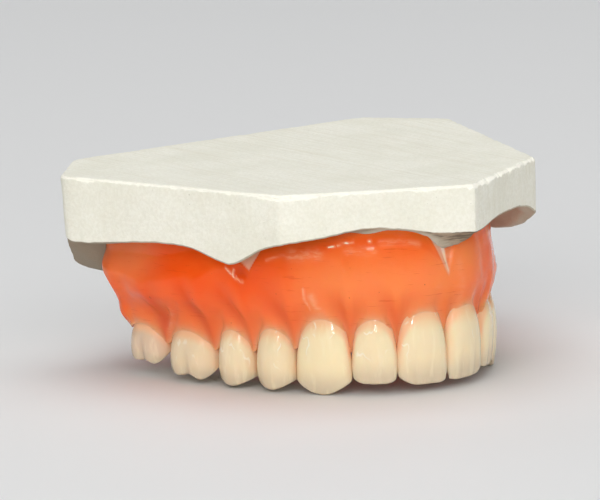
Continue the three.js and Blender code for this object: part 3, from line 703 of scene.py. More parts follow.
def furrows(line, t):
    """Depth of the furrows that run up from the papillae between the roots."""
    depth = np.zeros(line.shape)
    for side in (-1, 1):
        for tooth, strength, reach in zip(TEETH, FURROW_DEPTHS, FURROW_REACHES):
            width = lerp(*FURROW_WIDTHS, smooth(0, 0.6, t))
            share = bell(line - side * tooth["end"], width)
            depth = depth + strength * share * smooth(reach, reach * 0.3, t)
    return depth


def swelling(z, size, height, width):
    return size * bell(z - height, width)


def flange(s, z, distance, spread_distance):
    """Outward offset of the wax on the lip and cheek side."""
    margin = gum_margin(s)[0][:, None]
    far = np.abs(s)[:, None]
    side = smooth(FLARE_START, FLARE_END, far)
    left = smooth(-MIDLINE_BLEND, MIDLINE_BLEND, s)[:, None]
    neck = blended(s, NECK_FACES)[:, None]
    flare = lerp(lerp(FRONT_FLARE_RIGHT, FRONT_FLARE_LEFT, left), SIDE_FLARE, side)
    roll = lerp(FRONT_BORDER_ROLL, SIDE_BORDER_ROLL, side)
    border = TOTAL_HEIGHT - lerp(FRONT_BORDER_DEPTH, SIDE_BORDER_DEPTH, side)
    t = (z - margin) / (border - margin)
    line = root_line(s, np.maximum(0, z - margin))
    papilla = between_roots(line)
    near = 1 - smooth(0, 0.45, t)
    end_share = smooth(ROW_END - 3.8, ROW_END - 0.8, far)
    sink = PAPILLA_SINK * lerp(0.35, papilla, near) * (1 - end_share)
    swell = ROOT_EMINENCE * (1 - papilla) * np.sin(np.pi * clamp01(t * 1.25))
    body = neck + GUM_OVERLAP + flare * smooth(0, FLARE_SHARE, t) - roll * smooth(FLARE_SHARE, 1, t)
    body = body + swell - sink - furrows(line, np.maximum(t, 0)) - groove_depth(s[:, None], z)
    hollow = EMBRASURE_DEPTH - EMBRASURE_FILL * smooth(0, EMBRASURE_HEIGHT, distance)
    turned = smooth(ROW_END - 1.8, ROW_END + 0.4, far) * smooth(END_TURN_HEIGHT, 0, distance)
    embrasure = neck - NECK_TURN - (1 - end_share) * hollow - END_TURN * turned
    sharp = soft_max(tooth_face(s, z), embrasure, COLLAR_BLEND)
    soft = sum(weight * tooth_face(s + shift, z) for shift, weight in bell_shifts(*COLLAR_MEAN))
    collar = lerp(sharp, soft_max(soft, embrasure, COLLAR_BLEND), smooth(*COLLAR_RISE, distance))
    lip = 1 - clamp01(distance / LIP_WIDTH)
    film = LIP_THICKNESS * (1 - lip * lip) - LIP_SINK
    rear_form = (swelling(z, *REAR_SWELL) - swelling(z, *REAR_WAIST)) * smooth(*REAR_FORM, far)
    even = lerp(FRONT_EVENNESS, SIDE_EVENNESS, side) * smooth(ROW_END, ROW_END - 3, far)
    risen = lerp(spread_distance, z - blended(s, NECKS)[:, None], even)
    rise = smooth(RISE_START, lerp(FRONT_RISE, SIDE_RISE, side), risen)
    return lerp(collar + film, body, rise) + rear_form


# Groove over the labial frenum, film over the buccal frenum and the hollow behind it
GROOVE_S = -0.3
GROOVE_APEX = 16.6
GROOVE_LEAN = 0.47
GROOVE_RIGHT = 0.4
GROOVE_OPENING = 0.28
GROOVE_DEPTH = 0.4
GROOVE_LIP = 0.08
NOTCH_S = -28.2
NOTCH_APEX = 17.6
NOTCH_REAR_SLOPE = 0.85
NOTCH_FRONT_SLOPE = 1.75
NOTCH_DEPTH = 0.25
HOLLOW_S = -29.6
HOLLOW_Z = 17.2
HOLLOW_SIZE = 1.3
HOLLOW_DEPTH = 0.35

# Marks of the wax knife and painted highlights: places along the arch and heights, half width, height of
# the relief, paleness
MARKS = [
    ([(-31.6, 18), (-30.9, 17.1), (-30.3, 16.4), (-29.8, 16.1), (-29.2, 16)], 0.16, 0.15, 0.8),
    ([(-30.5, 17.7), (-30.65, 17.1), (-30.35, 16.4)], 0.14, 0.12, 0.8),
    ([(-25.6, 19.3), (-24.2, 19.9), (-22.3, 20.35)], 0.16, 0.1, 0.45),
    # painted reflections: pale facets below the front border
    ([(-22.2, 20.1), (-20, 20.2), (-18.4, 20.3)], 0.7, 0.08, 0.5),
    ([(-14.1, 20.9), (-10.9, 20.9)], 0.6, 0.08, 0.4),
    ([(-9.8, 21.9), (-7, 22), (-4.7, 21.5)], 0.4, 0.06, 0.35),
    # painted highlights: streaks on the fullness beside the canine
    ([(-20.4, 15.4), (-20.3, 13.9), (-20, 13.1), (-19.8, 12.3)], 0.16, 0.12, 0.7),
    ([(-19.3, 14.3), (-19, 12.8), (-18, 11.8)], 0.5, 0.12, 0.5),
    # painted highlights: dashes and a dot along the roll of the front border
    ([(-16.9, 21.35), (-16.1, 21.5)], 0.13, 0.1, 1),
    ([(-15.6, 21.65), (-14.5, 21.95), (-13.4, 22.2)], 0.13, 0.1, 1),
    ([(-11.3, 22.2), (-11.2, 22.2)], 0.2, 0.12, 1),
    ([(-42, 10.6), (-43.4, 8.3), (-44.2, 6.8)], 0.45, 0.3, 0.3),
    ([(-40.3, 12), (-42.4, 9)], 0.4, -0.2, 0),
    ([(2, 18.1), (2.3, 12.6)], 0.6, 0.03, 0.15),
]
MIRRORED_FROM = 9


def groove_places(s, z):
    """Distances inward from the two edges of the groove over the labial frenum."""
    rise = np.maximum(0, z - GROOVE_APEX)
    return s - GROOVE_S + rise * GROOVE_LEAN, GROOVE_S + GROOVE_RIGHT + rise * GROOVE_OPENING - s


def groove_depth(s, z):
    first, second = groove_places(s, z)
    rise = z - GROOVE_APEX
    inside = smooth(-0.1, 0.9, first) * smooth(-0.15, 0.35, second) * smooth(-1.2, 1.5, first)
    lip = bell(first + 0.25, 0.28) * smooth(-0.6, 0.4, rise)
    return GROOVE_DEPTH * inside * smooth(-0.3, 2.4, rise) - GROOVE_LIP * lip


def notch_share(s, z):
    """Share of the thin film over the right buccal frenum, a triangle with its point down."""
    d = s - NOTCH_S
    edge = NOTCH_APEX + np.maximum(-d * NOTCH_REAR_SLOPE, d * NOTCH_FRONT_SLOPE)
    return smooth(-0.1, 0.25, z - edge)


def hollow_share(s, z):
    return bell(s - HOLLOW_S, HOLLOW_SIZE) * bell(z - HOLLOW_Z, HOLLOW_SIZE)


def mark_share(s, z, path, half_width):
    """Nearness to a mark of the wax knife or a painted highlight."""
    nearest = np.full(z.shape, np.inf)
    for (s0, z0), (s1, z1) in zip(path, path[1:]):
        length = (s1 - s0) ** 2 + (z1 - z0) ** 2
        along = clamp01(((s - s0) * (s1 - s0) + (z - z0) * (z1 - z0)) / length)
        nearest = np.minimum(nearest, np.hypot(s - lerp(s0, s1, along), z - lerp(z0, z1, along)))
    return bell(nearest, half_width)


def wax_marks(s, z):
    """Relief and paleness of all marks and painted highlights, those of the side on both sides."""
    relief, pale_and_highlight = np.zeros(z.shape), np.zeros(z.shape)
    for path, half_width, height, paleness in MARKS:
        place = np.where(s > MIRRORED_FROM, -s, s) if path[0][0] < -MIRRORED_FROM else s
        share = mark_share(place, z, path, half_width)
        relief = relief + height * share
        pale_and_highlight = np.maximum(pale_and_highlight, paleness * share)
    return relief, pale_and_highlight


def border_height(s):
    """Height at which the flange meets the cast or the edge of a frenum notch."""
    margin, _ = gum_margin(s)
    z = lerp(margin[:, None], TOTAL_HEIGHT - BORDER_TOP, np.linspace(0.15, 1, 90)[None, :])
    above = z - margin[:, None]
    q = squeezed(s, flange(s, z, above, above))
    x, y = on_arch(s[:, None] * np.ones_like(z), q)
    gap = cast_height(x, y) - SEAT_GAP - z
    hit = (gap <= 0).argmax(1)
    row = np.arange(s.size)
    g0, g1 = gap[row, hit - 1], gap[row, hit]
    t = g0 / (g0 - g1)
    seat = lerp(z[row, hit - 1], z[row, hit], t)
    return np.where(hit > 0, seat, z[:, -1])


def inner_edge(s):
    return -lerp(FRONT_RIDGE_INSET, REAR_RIDGE_INSET, smooth(FLARE_START, FLARE_END, np.abs(s)))


def end_round(s):
    return clamp01((np.abs(s) - BASE_END + TUBEROSITY_ROUND) / TUBEROSITY_ROUND)


def squeezed(s, q):
    """Outward offsets drawn in round the end of the base."""
    inner = inner_edge(s)[:, None]
    return inner + (q - inner) * np.sqrt(1 - END_ROUNDNESS * end_round(s) ** 2)[:, None]


def wax_stations():
    inner = np.arange(0, BASE_END - TUBEROSITY_ROUND, STATION_SPACING)
    outer = BASE_END - TUBEROSITY_ROUND + TUBEROSITY_ROUND * np.sin(np.linspace(0, np.pi / 2, 36))
    fine = np.concatenate([np.arange(*span, STATION_SPACING) for span in FINE_SPANS])
    half = np.sort(np.concatenate((inner, outer, fine)))
    return np.concatenate((-half[:0:-1], half))


def flange_heights(margin, top):
    """Rows of heights on the flange, closer together near its margin and its border."""
    steps = LIP_STEPS[None, :] * np.minimum(1, (top - margin)[:, None] / 3)
    low = margin[:, None] + steps
    high = top[:, None] - 0.6 * steps[:, ::-1]
    middle = lerp(low[:, -1:], high[:, :1], np.linspace(0, 1, FLANGE_ROWS)[None, 1:])
    return np.hstack((low, middle, high[:, 1:]))


def under_teeth(s, margin, papilla, margin_q, shoulder_q):
    """Offsets and heights from the margin inwards under the teeth and round the palatal shoulder."""
    beside = smooth(ROW_END - 4.5, ROW_END - 0.5, np.abs(s))
    palatal = blended(s, NECKS) - PALATAL_MARGIN_DROP - papilla * PALATAL_PAPILLA_DROP
    palatal = lerp(palatal, margin + END_MARGIN_RISE * beside, beside)
    q, z = [], []
    for share in UNDER_SHARES:
        q.append(lerp(margin_q, shoulder_q + SHOULDER_WIDTH, share))
        z.append(lerp(margin, palatal, share) + UNDER_ARCH * math.sin(math.pi * share))
    for turn in np.linspace(0, np.pi / 2, 8):
        q.append(shoulder_q + SHOULDER_WIDTH - 2 * SHOULDER_WIDTH * math.sin(turn))
        z.append(palatal + SHOULDER_RISE * (1 - math.cos(turn)))
    return np.stack(q, 1), np.stack(z, 1)


def wax_shades(s, z, margin, top, distance):
    """Shares from 0 to 1 that colour the flange, apart from its marks and films."""
    far = np.abs(s)[:, None]
    above = np.maximum(distance, 0)
    beside_teeth = smooth(ROW_END + 0.5, ROW_END - 2.5, far)
    edge_share = lerp(0.45, 1, beside_teeth)
    thin_share = 1 - 0.75 * smooth(0.4, 0.9, between_roots(s))[:, None]
    line = root_line(s, np.maximum(0, z - margin[:, None]))
    reach = (z - margin[:, None]) / (top - margin)[:, None]
    return {
        # painted shade: the furrows between the roots darker
        "deep": np.minimum(1, furrows(line, reach) * 2.8),
        # painted light: the crests of the roots lighter
        "crest": (1 - gum_margin(line)[1]) * np.sin(np.pi * clamp01(reach * 1.5)),
        "thin": np.exp(-above / 2.1) * thin_share * edge_share,
        "lip": np.exp(-above / 0.45) * edge_share,
        # painted shade below the cast's rim, along the top of the front flange
        "shade_below_rim": smooth(2.3, 1.7, top[:, None] - z) * smooth(30, 24, far),
        # painted light on the labial fullness in front
        "full": np.exp(-((s[:, None] + 9) / 13) ** 4 - ((z - 15.5) / 5) ** 2),
        "lit": bell(s[:, None] - 3, 5) * bell(z - 18.5, 3.6),
        "rear": smooth(40, 48, far) * smooth(11, 17, z),
    }


def groove_shades(s, z):
    """Thin film of the groove over the labial frenum, and painted highlights along its edges and painted
    light inside it.
    """
    first, second = groove_places(s, z)
    rise = z - GROOVE_APEX
    open_groove = smooth(-0.4, 0.6, rise) * smooth(-0.1, 0.3, second)
    width = 0.4 + 0.36 * np.maximum(0, rise)
    film = smooth(-0.15, 0.3, first) * smooth(width + 0.25, width - 0.15, first) * open_groove
    # painted highlight along the left edge
    edge = 0.78 * smooth(width * 0.1, width * 0.7, first) * film
    # painted highlight along the right edge
    crease_highlight = 0.5 * bell(second - 0.1, 0.13) * smooth(-0.2, 0.3, first) * open_groove * smooth(3, 1, rise)
    # painted light inside the groove, which the plaster lobe shades
    inside = 0.35 * smooth(width - 0.1, width + 0.3, first) * smooth(0, 0.3, second) * open_groove
    return film, np.maximum(np.maximum(edge, inside), crease_highlight)


def wax_piece(material):
    s = wax_stations()
    margin, papilla = gum_margin(s)
    top = np.maximum(border_height(s), margin + LEAST_FLANGE)
    z = flange_heights(margin, top)
    distance = margin_distance(s, z)
    q = flange(s, z, np.maximum(distance, 0), soft_distance(s, z))
    smooth_flange = np.stack((*on_arch(s[:, None] * np.ones_like(z), q), z), -1)
    wave = waves(smooth_flange, WAX_WAVES)
    relief, pale_and_highlight = wax_marks(s[:, None], z)
    thin_film = notch_share(s[:, None], z)
    hollow = hollow_share(s[:, None], z) * (1 - thin_film)
    relief = wave + relief - HOLLOW_DEPTH * hollow - NOTCH_DEPTH * thin_film
    q = q + relief * smooth(0.5, 1.6, distance)

    # The flange from its border down, and on under the teeth to the palatal shoulder
    shoulder_q = blended(s, NECK_FACES) - blended(s, DEPTHS)
    under_q, under_z = under_teeth(s, margin, papilla, q[:, 0], shoulder_q)
    q_section = np.hstack((q[:, ::-1], under_q))
    px, py = on_arch(s[:, None] * np.ones_like(q_section), squeezed(s, q_section))
    outer = np.stack((px, py, np.hstack((z[:, ::-1], under_z))), -1)

    # Palate plate from the shoulder to the midline
    shoulder = outer[:, -1]
    rear_share = (np.abs(s) / BASE_END)[:, None] ** SPINE_CURVE
    spine_y = lerp(ARCH_FRONT_Y + SPINE_SETBACK, BACK_WALL - PALATE_BORDER_INSET, rear_share)

    def plate_points(t):
        return shoulder[:, :1] * (1 - t), lerp(shoulder[:, 1:2], spine_y, t)

    t = np.linspace(0, 1, 27)[1:]
    plate_x, plate_y = plate_points(t)
    over = cast_height(plate_x, plate_y) - BASE_THICKNESS
    plate = np.stack((plate_x, plate_y, lerp(shoulder[:, 2:3], over, smooth(0, 0.55, t))), -1)

    # Back along the cast to the border of the flange
    def on_cast(x, y):
        return np.stack((x, y, cast_height(x, y) - SEAT_GAP), -1)

    seat = on_cast(*plate_points(np.linspace(1, 0, 12)))
    rim_ends = squeezed(s, np.stack((shoulder_q - SHOULDER_WIDTH, q[:, -1]), 1))
    rim_q = lerp(rim_ends[:, :1], rim_ends[:, 1:], np.linspace(0, 1, 16)[None, 1:-1])
    rim = on_cast(*on_arch(s[:, None] * np.ones_like(rim_q), rim_q))

    # Both sides share their points on the midline of the palate
    grid = np.concatenate((outer, plate, seat, rim), 1)
    rows, columns, _ = grid.shape
    middle = outer.shape[1] + plate.shape[1] - 1
    number = np.arange(rows * columns).reshape(rows, columns)
    number[rows // 2 + 1:, middle:middle + 2] = number[rows // 2 - 1::-1, middle:middle + 2]
    quads = grid_faces(rows, columns, True)
    quads = quads[quads[:, 0] % columns != middle]
    used, renumbered = np.unique(number, return_inverse=True)
    renumbered = renumbered.reshape(rows, columns)
    faces = [renumbered.ravel()[quads], [renumbered[0, ::-1].tolist()], [renumbered[-1].tolist()]]

    film, groove_highlights = groove_shades(s[:, None], z)
    shades = wax_shades(s, z, margin, top, distance)
    # the hollow behind the buccal frenum also carries painted shade
    shades["hollow"] = hollow
    shades["pale_and_highlight"] = np.maximum(pale_and_highlight, groove_highlights)
    shades["film"] = np.maximum(film, thin_film)
    values = {}
    for name, share in shades.items():
        full = np.zeros((rows, columns))
        full[:, :z.shape[1]] = share[:, ::-1]
        if name in ("thin", "lip"):
            full[:, z.shape[1]:z.shape[1] + 3] = smooth(ROW_END + 0.5, ROW_END - 2.5, np.abs(s))[:, None]
        values[name] = full.ravel()[used]
    return make_piece("wax_base", grid.reshape(-1, 3)[used], faces, values, material)


# Plaster cast: chips as size, least value, depth and seed, waves as size, seed, height and stretch
CORNER_ROUNDING = (0.36, 0.85)
EDGE_BEVEL = 0.3
EDGE_CHIPS = ((5.5, 0.25, 0.5, 11), (1.6, 0.1, 0.35, 12), (0.6, 0, 0.16, 13))
CORNER_CHIP = 0.25
WALL_WEAR = (1.0, 0.8, 2.2, 1.0, 0.9, 0.8, 0.9)
WALL_WAVES = ((2.4, 41, 0.05), (0.8, 42, 0.022), (0.4, 43, 0.012))
LOW_WAVES = ((1.2, 47, 0.06), (0.5, 48, 0.035))
LAYER_WAVES = ((0.55, 45, 0.16, 0.35), (0.28, 46, 0.08, 0.3))
TOP_SHARES = (0.75, 0.35)
TOP_INSETS = (3, 1.9, 1.3, 1.0, 0.8, 0.62, 0.48, 0.36, 0.26, 0.17, 0.08)
WALL_DEPTHS = (0, 0.08, 0.17, 0.27, 0.38, 0.5, 0.66, 0.86, 1.15)
WALL_ROWS = 21
LOW_ROUND = 0.3
LOW_TURNS = (0.35, 0.75, 1.15)
UNDER_INSETS = (0.1, 0.25, 0.45, 0.7, 1.0, 1.4, 1.9, 2.5)


def cast_outline():
    """Points round the cast's walls with their corners rounded, more so at the heels."""
    aside = smooth(CAST_HALF_WIDTH - 14, CAST_HALF_WIDTH - 7, np.abs(wall_points[:, 0]))
    heel = aside * (wall_points[:, 1] > 10)
    sharp, blunt = [blur_round(wall_points, reach, OUTLINE_SPACING) for reach in CORNER_ROUNDING]
    return lerp(sharp, blunt, heel[:, None])


def edge_chips(points, rough):
    """Depth of the worn flats along an edge."""
    chips = 0
    for size, least, depth, seed in EDGE_CHIPS:
        chips = chips + np.maximum(0, field(points, size, seed) - least) * depth
    return EDGE_BEVEL + rough * chips


def cast_piece(material):
    outline = cast_outline()
    columns = len(outline)
    ahead = np.roll(outline, -1, axis=0) - np.roll(outline, 1, axis=0)
    ahead /= np.hypot(ahead[:, 0], ahead[:, 1])[:, None]
    to_centre = CENTRE - outline
    square_to_wall = ahead[:, 0] * to_centre[:, 1] - ahead[:, 1] * to_centre[:, 0]
    inward = to_centre / square_to_wall[:, None]
    edge = np.column_stack((outline, np.full(columns, TOTAL_HEIGHT)))
    low = TOTAL_HEIGHT - cast_height(*(outline + inward * LOW_ROUND).T) + waves(edge, LOW_WAVES)
    rough = blur_round(np.array(WALL_WEAR)[wall_number], 0.8, OUTLINE_SPACING)
    from_heel, from_corner = [np.hypot(*(outline - WALLS[k][0]).T) for k in (0, 1)]
    chip = edge_chips(edge, rough) + CORNER_CHIP * bell(from_corner, 4.5)
    lean = HEEL_LEAN * bell(from_heel, 8)
    rings, chipped = [], []

    def ring(xy, height, worn=0):
        rings.append(np.column_stack((xy, np.broadcast_to(height, columns))))
        chipped.append(np.broadcast_to(worn, columns))

    def edge_ring(inset, depth):
        """Points of the edge, with the corner rounded and cut back by the chips."""
        bevel = chip * (1 + 0.25 * field(edge + (0, 0, depth * 3), 0.45, 31))
        short = np.maximum(0, bevel * 1.25 - inset - depth)
        xy = outline + inward * (inset + short * 0.5 - lean * (1 - depth / HEEL_RIM))[:, None]
        ring(xy, TOTAL_HEIGHT - depth - short * 0.5, clamp01(short * 4))

    # Flat top, edge and wall down to the rim, then under the rim to the centre of the palate
    for share in TOP_SHARES:
        ring(lerp(outline + inward * TOP_INSETS[0], CENTRE, share), TOTAL_HEIGHT)
    for inset in TOP_INSETS:
        edge_ring(inset, 0)
    for depth in WALL_DEPTHS:
        edge_ring(0, depth)
    for share in np.linspace(0, 1, WALL_ROWS + 1)[1:]:
        depth = lerp(WALL_DEPTHS[-1], low - LOW_ROUND, share)
        leaning = (lean * np.maximum(0, 1 - depth / HEEL_RIM))[:, None]
        ring(outline - inward * leaning, TOTAL_HEIGHT - depth)
    for turn in LOW_TURNS:
        depth = low - LOW_ROUND * (1 - math.sin(turn))
        ring(outline + inward * LOW_ROUND * (1 - math.cos(turn)), TOTAL_HEIGHT - depth)
    under_xy = [outline + inward * (inset + LOW_ROUND) for inset in UNDER_INSETS]
    under_xy += [lerp(under_xy[-1], CENTRE, share) for share in np.linspace(0, 1, 36)[1:-1] ** 1.25]
    for xy in under_xy:
        ring(xy, cast_height(*xy.T))

    grid = np.array(rings)
    rows = len(rings)
    row = np.arange(rows)[:, None]
    first_wall = len(TOP_SHARES) + len(TOP_INSETS)
    last_wall = first_wall + len(WALL_DEPTHS) + WALL_ROWS
    wall = (row >= first_wall) & (row < last_wall + len(LOW_TURNS))
    under = row >= last_wall
    grid[..., :2] += inward * (waves(grid, WALL_WAVES) * wall)[..., None]
    torn_share = bell(grid[..., 0] - FRENUM_OFFSET, 4) * (grid[..., 1] < -20)
    layers = 0
    for size, seed, depth, stretch in LAYER_WAVES:
        layers = layers + field(grid * (stretch, 1, 1), size, seed) * depth
    grid[..., 2] += (field(grid, 2.2, 44) * 0.05 + layers * torn_share) * under

    centre_height = cast_height(*CENTRE[:, None])[0]
    points = np.vstack((grid.reshape(-1, 3), (*CENTRE, TOTAL_HEIGHT), (*CENTRE, centre_height)))
    ring_points = np.arange(columns)
    faces = [grid_faces(rows, columns, True)[:, ::-1]]
    faces.append(fan(ring_points, rows * columns, False))
    faces.append(fan(ring_points + (rows - 1) * columns, rows * columns + 1, True))

    # Shares from 0 to 1 on the rings, each with its value at the centre of the top and of the palate
    along, q = arch_place(grid[..., 0], grid[..., 1])
    spread = smooth(last_wall - 1, last_wall + 4, row) * np.ones(columns)
    shares = {
        "chip": (np.array(chipped), 0, 0),
        "scored": (clamp01((row < first_wall) * np.ones(columns) + (wall_number == 2) * wall), 1, 0),
        # painted shade from the foot of the wall onto the underside
        "under": (np.maximum(spread, under), 0, 1),
        # torn plaster layers over the labial frenum, with painted shade
        "torn_and_shaded": (smooth(-16, -10, along) * smooth(6.5, 4, along) * smooth(0.8, 1.6, q) * under, 0, 0),
        "shaded": (smooth(44, 50, -along) * smooth(14, 22, -grid[..., 0]) * under, 0, 0),
    }
    values = {name: np.append(share.ravel(), ends) for name, (share, *ends) in shares.items()}
    return make_piece("plaster_cast_finish", points, faces, values, material)


# Materials
class Nodes:
    """Short names for the shader nodes that the materials share."""

    def __init__(self, name):
        self.material = bpy.data.materials.new(name)
        self.material.use_nodes = True
        self.tree = self.material.node_tree
        self.shader = self.tree.nodes["Principled BSDF"]

    def node(self, kind, inputs=(), **settings):
        node = self.tree.nodes.new(kind)
        for key, value in settings.items():
            setattr(node, key, value)
        for key, value in dict(inputs).items():
            self.feed(node.inputs[key], value)
        return node

    def feed(self, socket, value):
        if isinstance(value, bpy.types.NodeSocket):
            self.tree.links.new(value, socket)
        else:
            socket.default_value = value

    def set(self, **inputs):
        for key, value in inputs.items():
            self.feed(self.shader.inputs[key.replace("_", " ")], value)

    def place(self, scale=(1, 1, 1), turn=0):
        coordinates = self.node("ShaderNodeTexCoord").outputs["Object"]
        inputs = {"Vector": coordinates, "Scale": scale, "Rotation": (0, 0, turn)}
        return self.node("ShaderNodeMapping", inputs).outputs["Vector"]

    def noise(self, scale, detail=3, roughness=0.5, vector=None):
        inputs = {"Scale": scale, "Detail": detail, "Roughness": roughness}
        inputs["Vector"] = vector or self.place()
        return self.node("ShaderNodeTexNoise", inputs).outputs["Fac"]

    def attribute(self, name):
        return self.node("ShaderNodeAttribute", attribute_name=name).outputs["Fac"]

    def math(self, operation, a, b=0.5, clamp=False):
        return self.node("ShaderNodeMath", {0: a, 1: b}, operation=operation, use_clamp=clamp).outputs[0]

    def ramp(self, value, low, high, out_low=0, out_high=1):
        inputs = {"Value": value, "From Min": low, "From Max": high}
        inputs.update({"To Min": out_low, "To Max": out_high})
        return self.node("ShaderNodeMapRange", inputs, interpolation_type="SMOOTHSTEP").outputs["Result"]

    def mix(self, share, a, b):
        node = self.node("ShaderNodeMix", data_type="RGBA")
        for socket, value in zip((node.inputs[0], node.inputs[6], node.inputs[7]), (share, a, b)):
            self.feed(socket, value)
        return node.outputs[2]

    def tint(self, base, *layers):
        """The base under layers of colour, each an attribute or a share, its strength and its colour."""
        for share, strength, rgb in layers:
            share = self.attribute(share) if isinstance(share, str) else share
            base = self.mix(self.math("MULTIPLY", share, strength), base, colour(*rgb))
        return base

    def bump(self, height, distance, strength=1, normal=None):
        inputs = {"Height": height, "Distance": distance, "Strength": strength}
        if normal is not None:
            inputs["Normal"] = normal
        return self.node("ShaderNodeBump", inputs).outputs["Normal"]


def colour(red, green, blue):
    """A colour given from 0 to 255 as it looks on screen."""
    def linear(v):
        v = v / 255
        return v / 12.92 if v <= 0.04045 else ((v + 0.055) / 1.055) ** 2.4
    return (linear(red), linear(green), linear(blue), 1)


def plaster_material():
    n = Nodes("plaster")
    streaks = n.ramp(n.noise(1, 4, 0.7, n.place((1500, 30, 300), 0.1)), 0.45, 0.75, 0, 0.55)
    scored = n.ramp(n.attribute("scored"), 0, 1, 0.3, 1)
    grain = n.ramp(n.noise(2000, 3, 0.65), 0.38, 0.62)
    layers = n.ramp(n.noise(1, 4, 0.6, n.place((260, 260, 2100))), 0.42, 0.58)
    # torn plaster layers, darkened with painted shade
    torn_and_shaded = n.mix(layers, colour(100, 84, 66), colour(168, 150, 128))
    dirt = n.ramp(n.noise(2300, 1, 0.5), 0.78, 0.82)
    clouds = n.ramp(n.noise(120, 5, 0.6), 0.35, 0.65)
    base = n.tint(
        n.mix(clouds, colour(238, 236, 221), colour(244, 242, 229)),
        (streaks, scored, (228, 223, 203)),
        (grain, 0.3, (224, 220, 202)),
        # painted shade on the underside, more of it under the right heel
        ("under", 0.85, (178, 167, 147)),
        ("shaded", 0.75, (140, 127, 108)),
    )
    base = n.mix(n.math("MULTIPLY", n.attribute("torn_and_shaded"), 0.9), base, torn_and_shaded)
    base = n.tint(base, ("chip", 1, (255, 252, 238)), (dirt, 0.45, (160, 152, 130)))
    n.set(Base_Color=base, Roughness=0.82, IOR=1.45, Specular_IOR_Level=0.3)
    n.set(Subsurface_Weight=0.08, Subsurface_Radius=(0.001, 0.0008, 0.0006), Subsurface_Scale=1.0)
    along = n.noise(1, 4, 0.7, n.place((2400, 34, 34), 0.1))
    across = n.noise(1, 3, 0.6, n.place((1500, 40, 40), -0.16))
    first = n.bump(n.math("MULTIPLY", n.math("ADD", along, across), scored), 0.00018, 0.8)
    second = n.bump(n.noise(800, 5, 0.72), 0.0003, 0.8, first)
    pits = n.ramp(n.noise(1700, 2, 0.5), 0.68, 0.76)
    n.set(Normal=n.bump(n.math("SUBTRACT", 1, pits), 0.00015, 0.6, second))
    return n.material


def wax_material():
    n = Nodes("wax")
    clouds = n.ramp(n.noise(110, 3, 0.5), 0.35, 0.68)
    pale_breakup = n.ramp(n.noise(1, 3, 0.6, n.place((500, 500, 1600))), 0.38, 0.6, 0.3, 1)
    scratches = n.ramp(n.noise(1, 3, 0.6, n.place((240, 240, 2600))), 0.62, 0.7)
    specks = n.ramp(n.noise(1500, 1, 0.5), 0.79, 0.81)
    base = n.tint(
        n.mix(clouds, colour(240, 86, 22), colour(248, 98, 32)),
        # painted light on the labial fullness
        ("full", 0.85, (255, 144, 78)),
        ("rear", 0.75, (234, 128, 78)),
        # painted shade below the cast's rim
        ("shade_below_rim", 0.5, (236, 84, 24)),
        ("lit", 0.8, (255, 142, 82)),
        # painted shade in the furrows
        ("deep", 0.8, (214, 70, 24)),
        # painted light on the crests of the roots
        ("crest", 0.35, (250, 126, 76)),
        ("thin", 0.8, (255, 146, 88)),
        ("lip", 0.6, (255, 192, 150)),
        # painted shade in the hollow behind the right buccal frenum
        ("hollow", 0.8, (222, 72, 10)),
        ("film", 0.85, (252, 184, 154)),
        # knife marks paled, with painted highlights and reflections, near white where strongest
        ("pale_and_highlight", pale_breakup, (255, 180, 140)),
        (n.ramp(n.attribute("pale_and_highlight"), 0.6, 0.95), 1, (255, 240, 218)),
        (scratches, 0.28, (206, 62, 18)),
        (specks, 0.5, (130, 50, 25)),
    )
    n.set(Base_Color=base, Roughness=0.11, IOR=1.45, Specular_IOR_Level=0.25)
    n.set(Subsurface_Weight=0.5, Subsurface_Radius=(0.004, 0.0013, 0.0004), Subsurface_Scale=1.0)
    first = n.bump(n.noise(300, 3, 0.5), 0.0002, 0.6)
    n.set(Normal=n.bump(n.noise(1, 3, 0.6, n.place((900, 900, 2600))), 0.00005, 0.5, first))
    return n.material


def tooth_material():
    n = Nodes("tooth")
    height = n.attribute("height")
    tone = n.attribute("tone")
    # painted reflections: faint pale vertical streaks
    reflection_streaks = n.ramp(n.noise(1, 3, 0.55, n.place((900, 900, 150))), 0.52, 0.7)
    contour = n.math("ABSOLUTE", n.math("SUBTRACT", n.noise(1, 2, 0.5, n.place((330, 330, 190))), 0.5))
    glints = n.math("MULTIPLY", n.ramp(contour, 0.02, 0.004), n.ramp(n.noise(430, 1, 0.5), 0.5, 0.6))
    glints = n.math("MULTIPLY", glints, n.ramp(tone, 0.3, 0.6))
    glints = n.math("MULTIPLY", glints, n.ramp(height, 0.3, 0.5))
    base = n.tint(
        n.mix(tone, colour(222, 197, 170), colour(245, 227, 186)),
        (n.ramp(height, 0.42, 0.02), 1, (214, 196, 168)),
        (n.ramp(height, 0.72, 1.0), 1, (244, 200, 154)),
        (reflection_streaks, 0.3, (253, 240, 208)),
        # painted warm shade near the contacts
        ("contact_shade", 0.35, (240, 178, 136)),
        ("gum", 0.75, (250, 186, 144)),
        (glints, 0.5, (255, 250, 238)),
    )
    n.set(Base_Color=base, Roughness=0.12, IOR=1.5, Specular_IOR_Level=0.35)
    n.set(Subsurface_Weight=0.35, Subsurface_Radius=(0.0024, 0.0014, 0.0009), Subsurface_Scale=1.0)
    n.set(Coat_Weight=0.15, Coat_Roughness=0.03)
    ripple = n.bump(n.noise(1100, 2, 0.5), 0.0001, 0.45)
    first = n.bump(n.noise(1, 3, 0.5, n.place((520, 520, 160))), 0.00016, 0.6, ripple)
    n.set(Normal=n.bump(glints, 0.00005, 0.6, first))
    return n.material


def floor_material():
    n = Nodes("floor")
    n.set(Base_Color=(0.78, 0.78, 0.77, 1), Roughness=0.7)
    return n.material


# Pieces
plaster = plaster_material()
wax = wax_material()
tooth_resin = tooth_material()

cast = cast_piece(plaster)
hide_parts("plaster_cast")
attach(cast, "root")

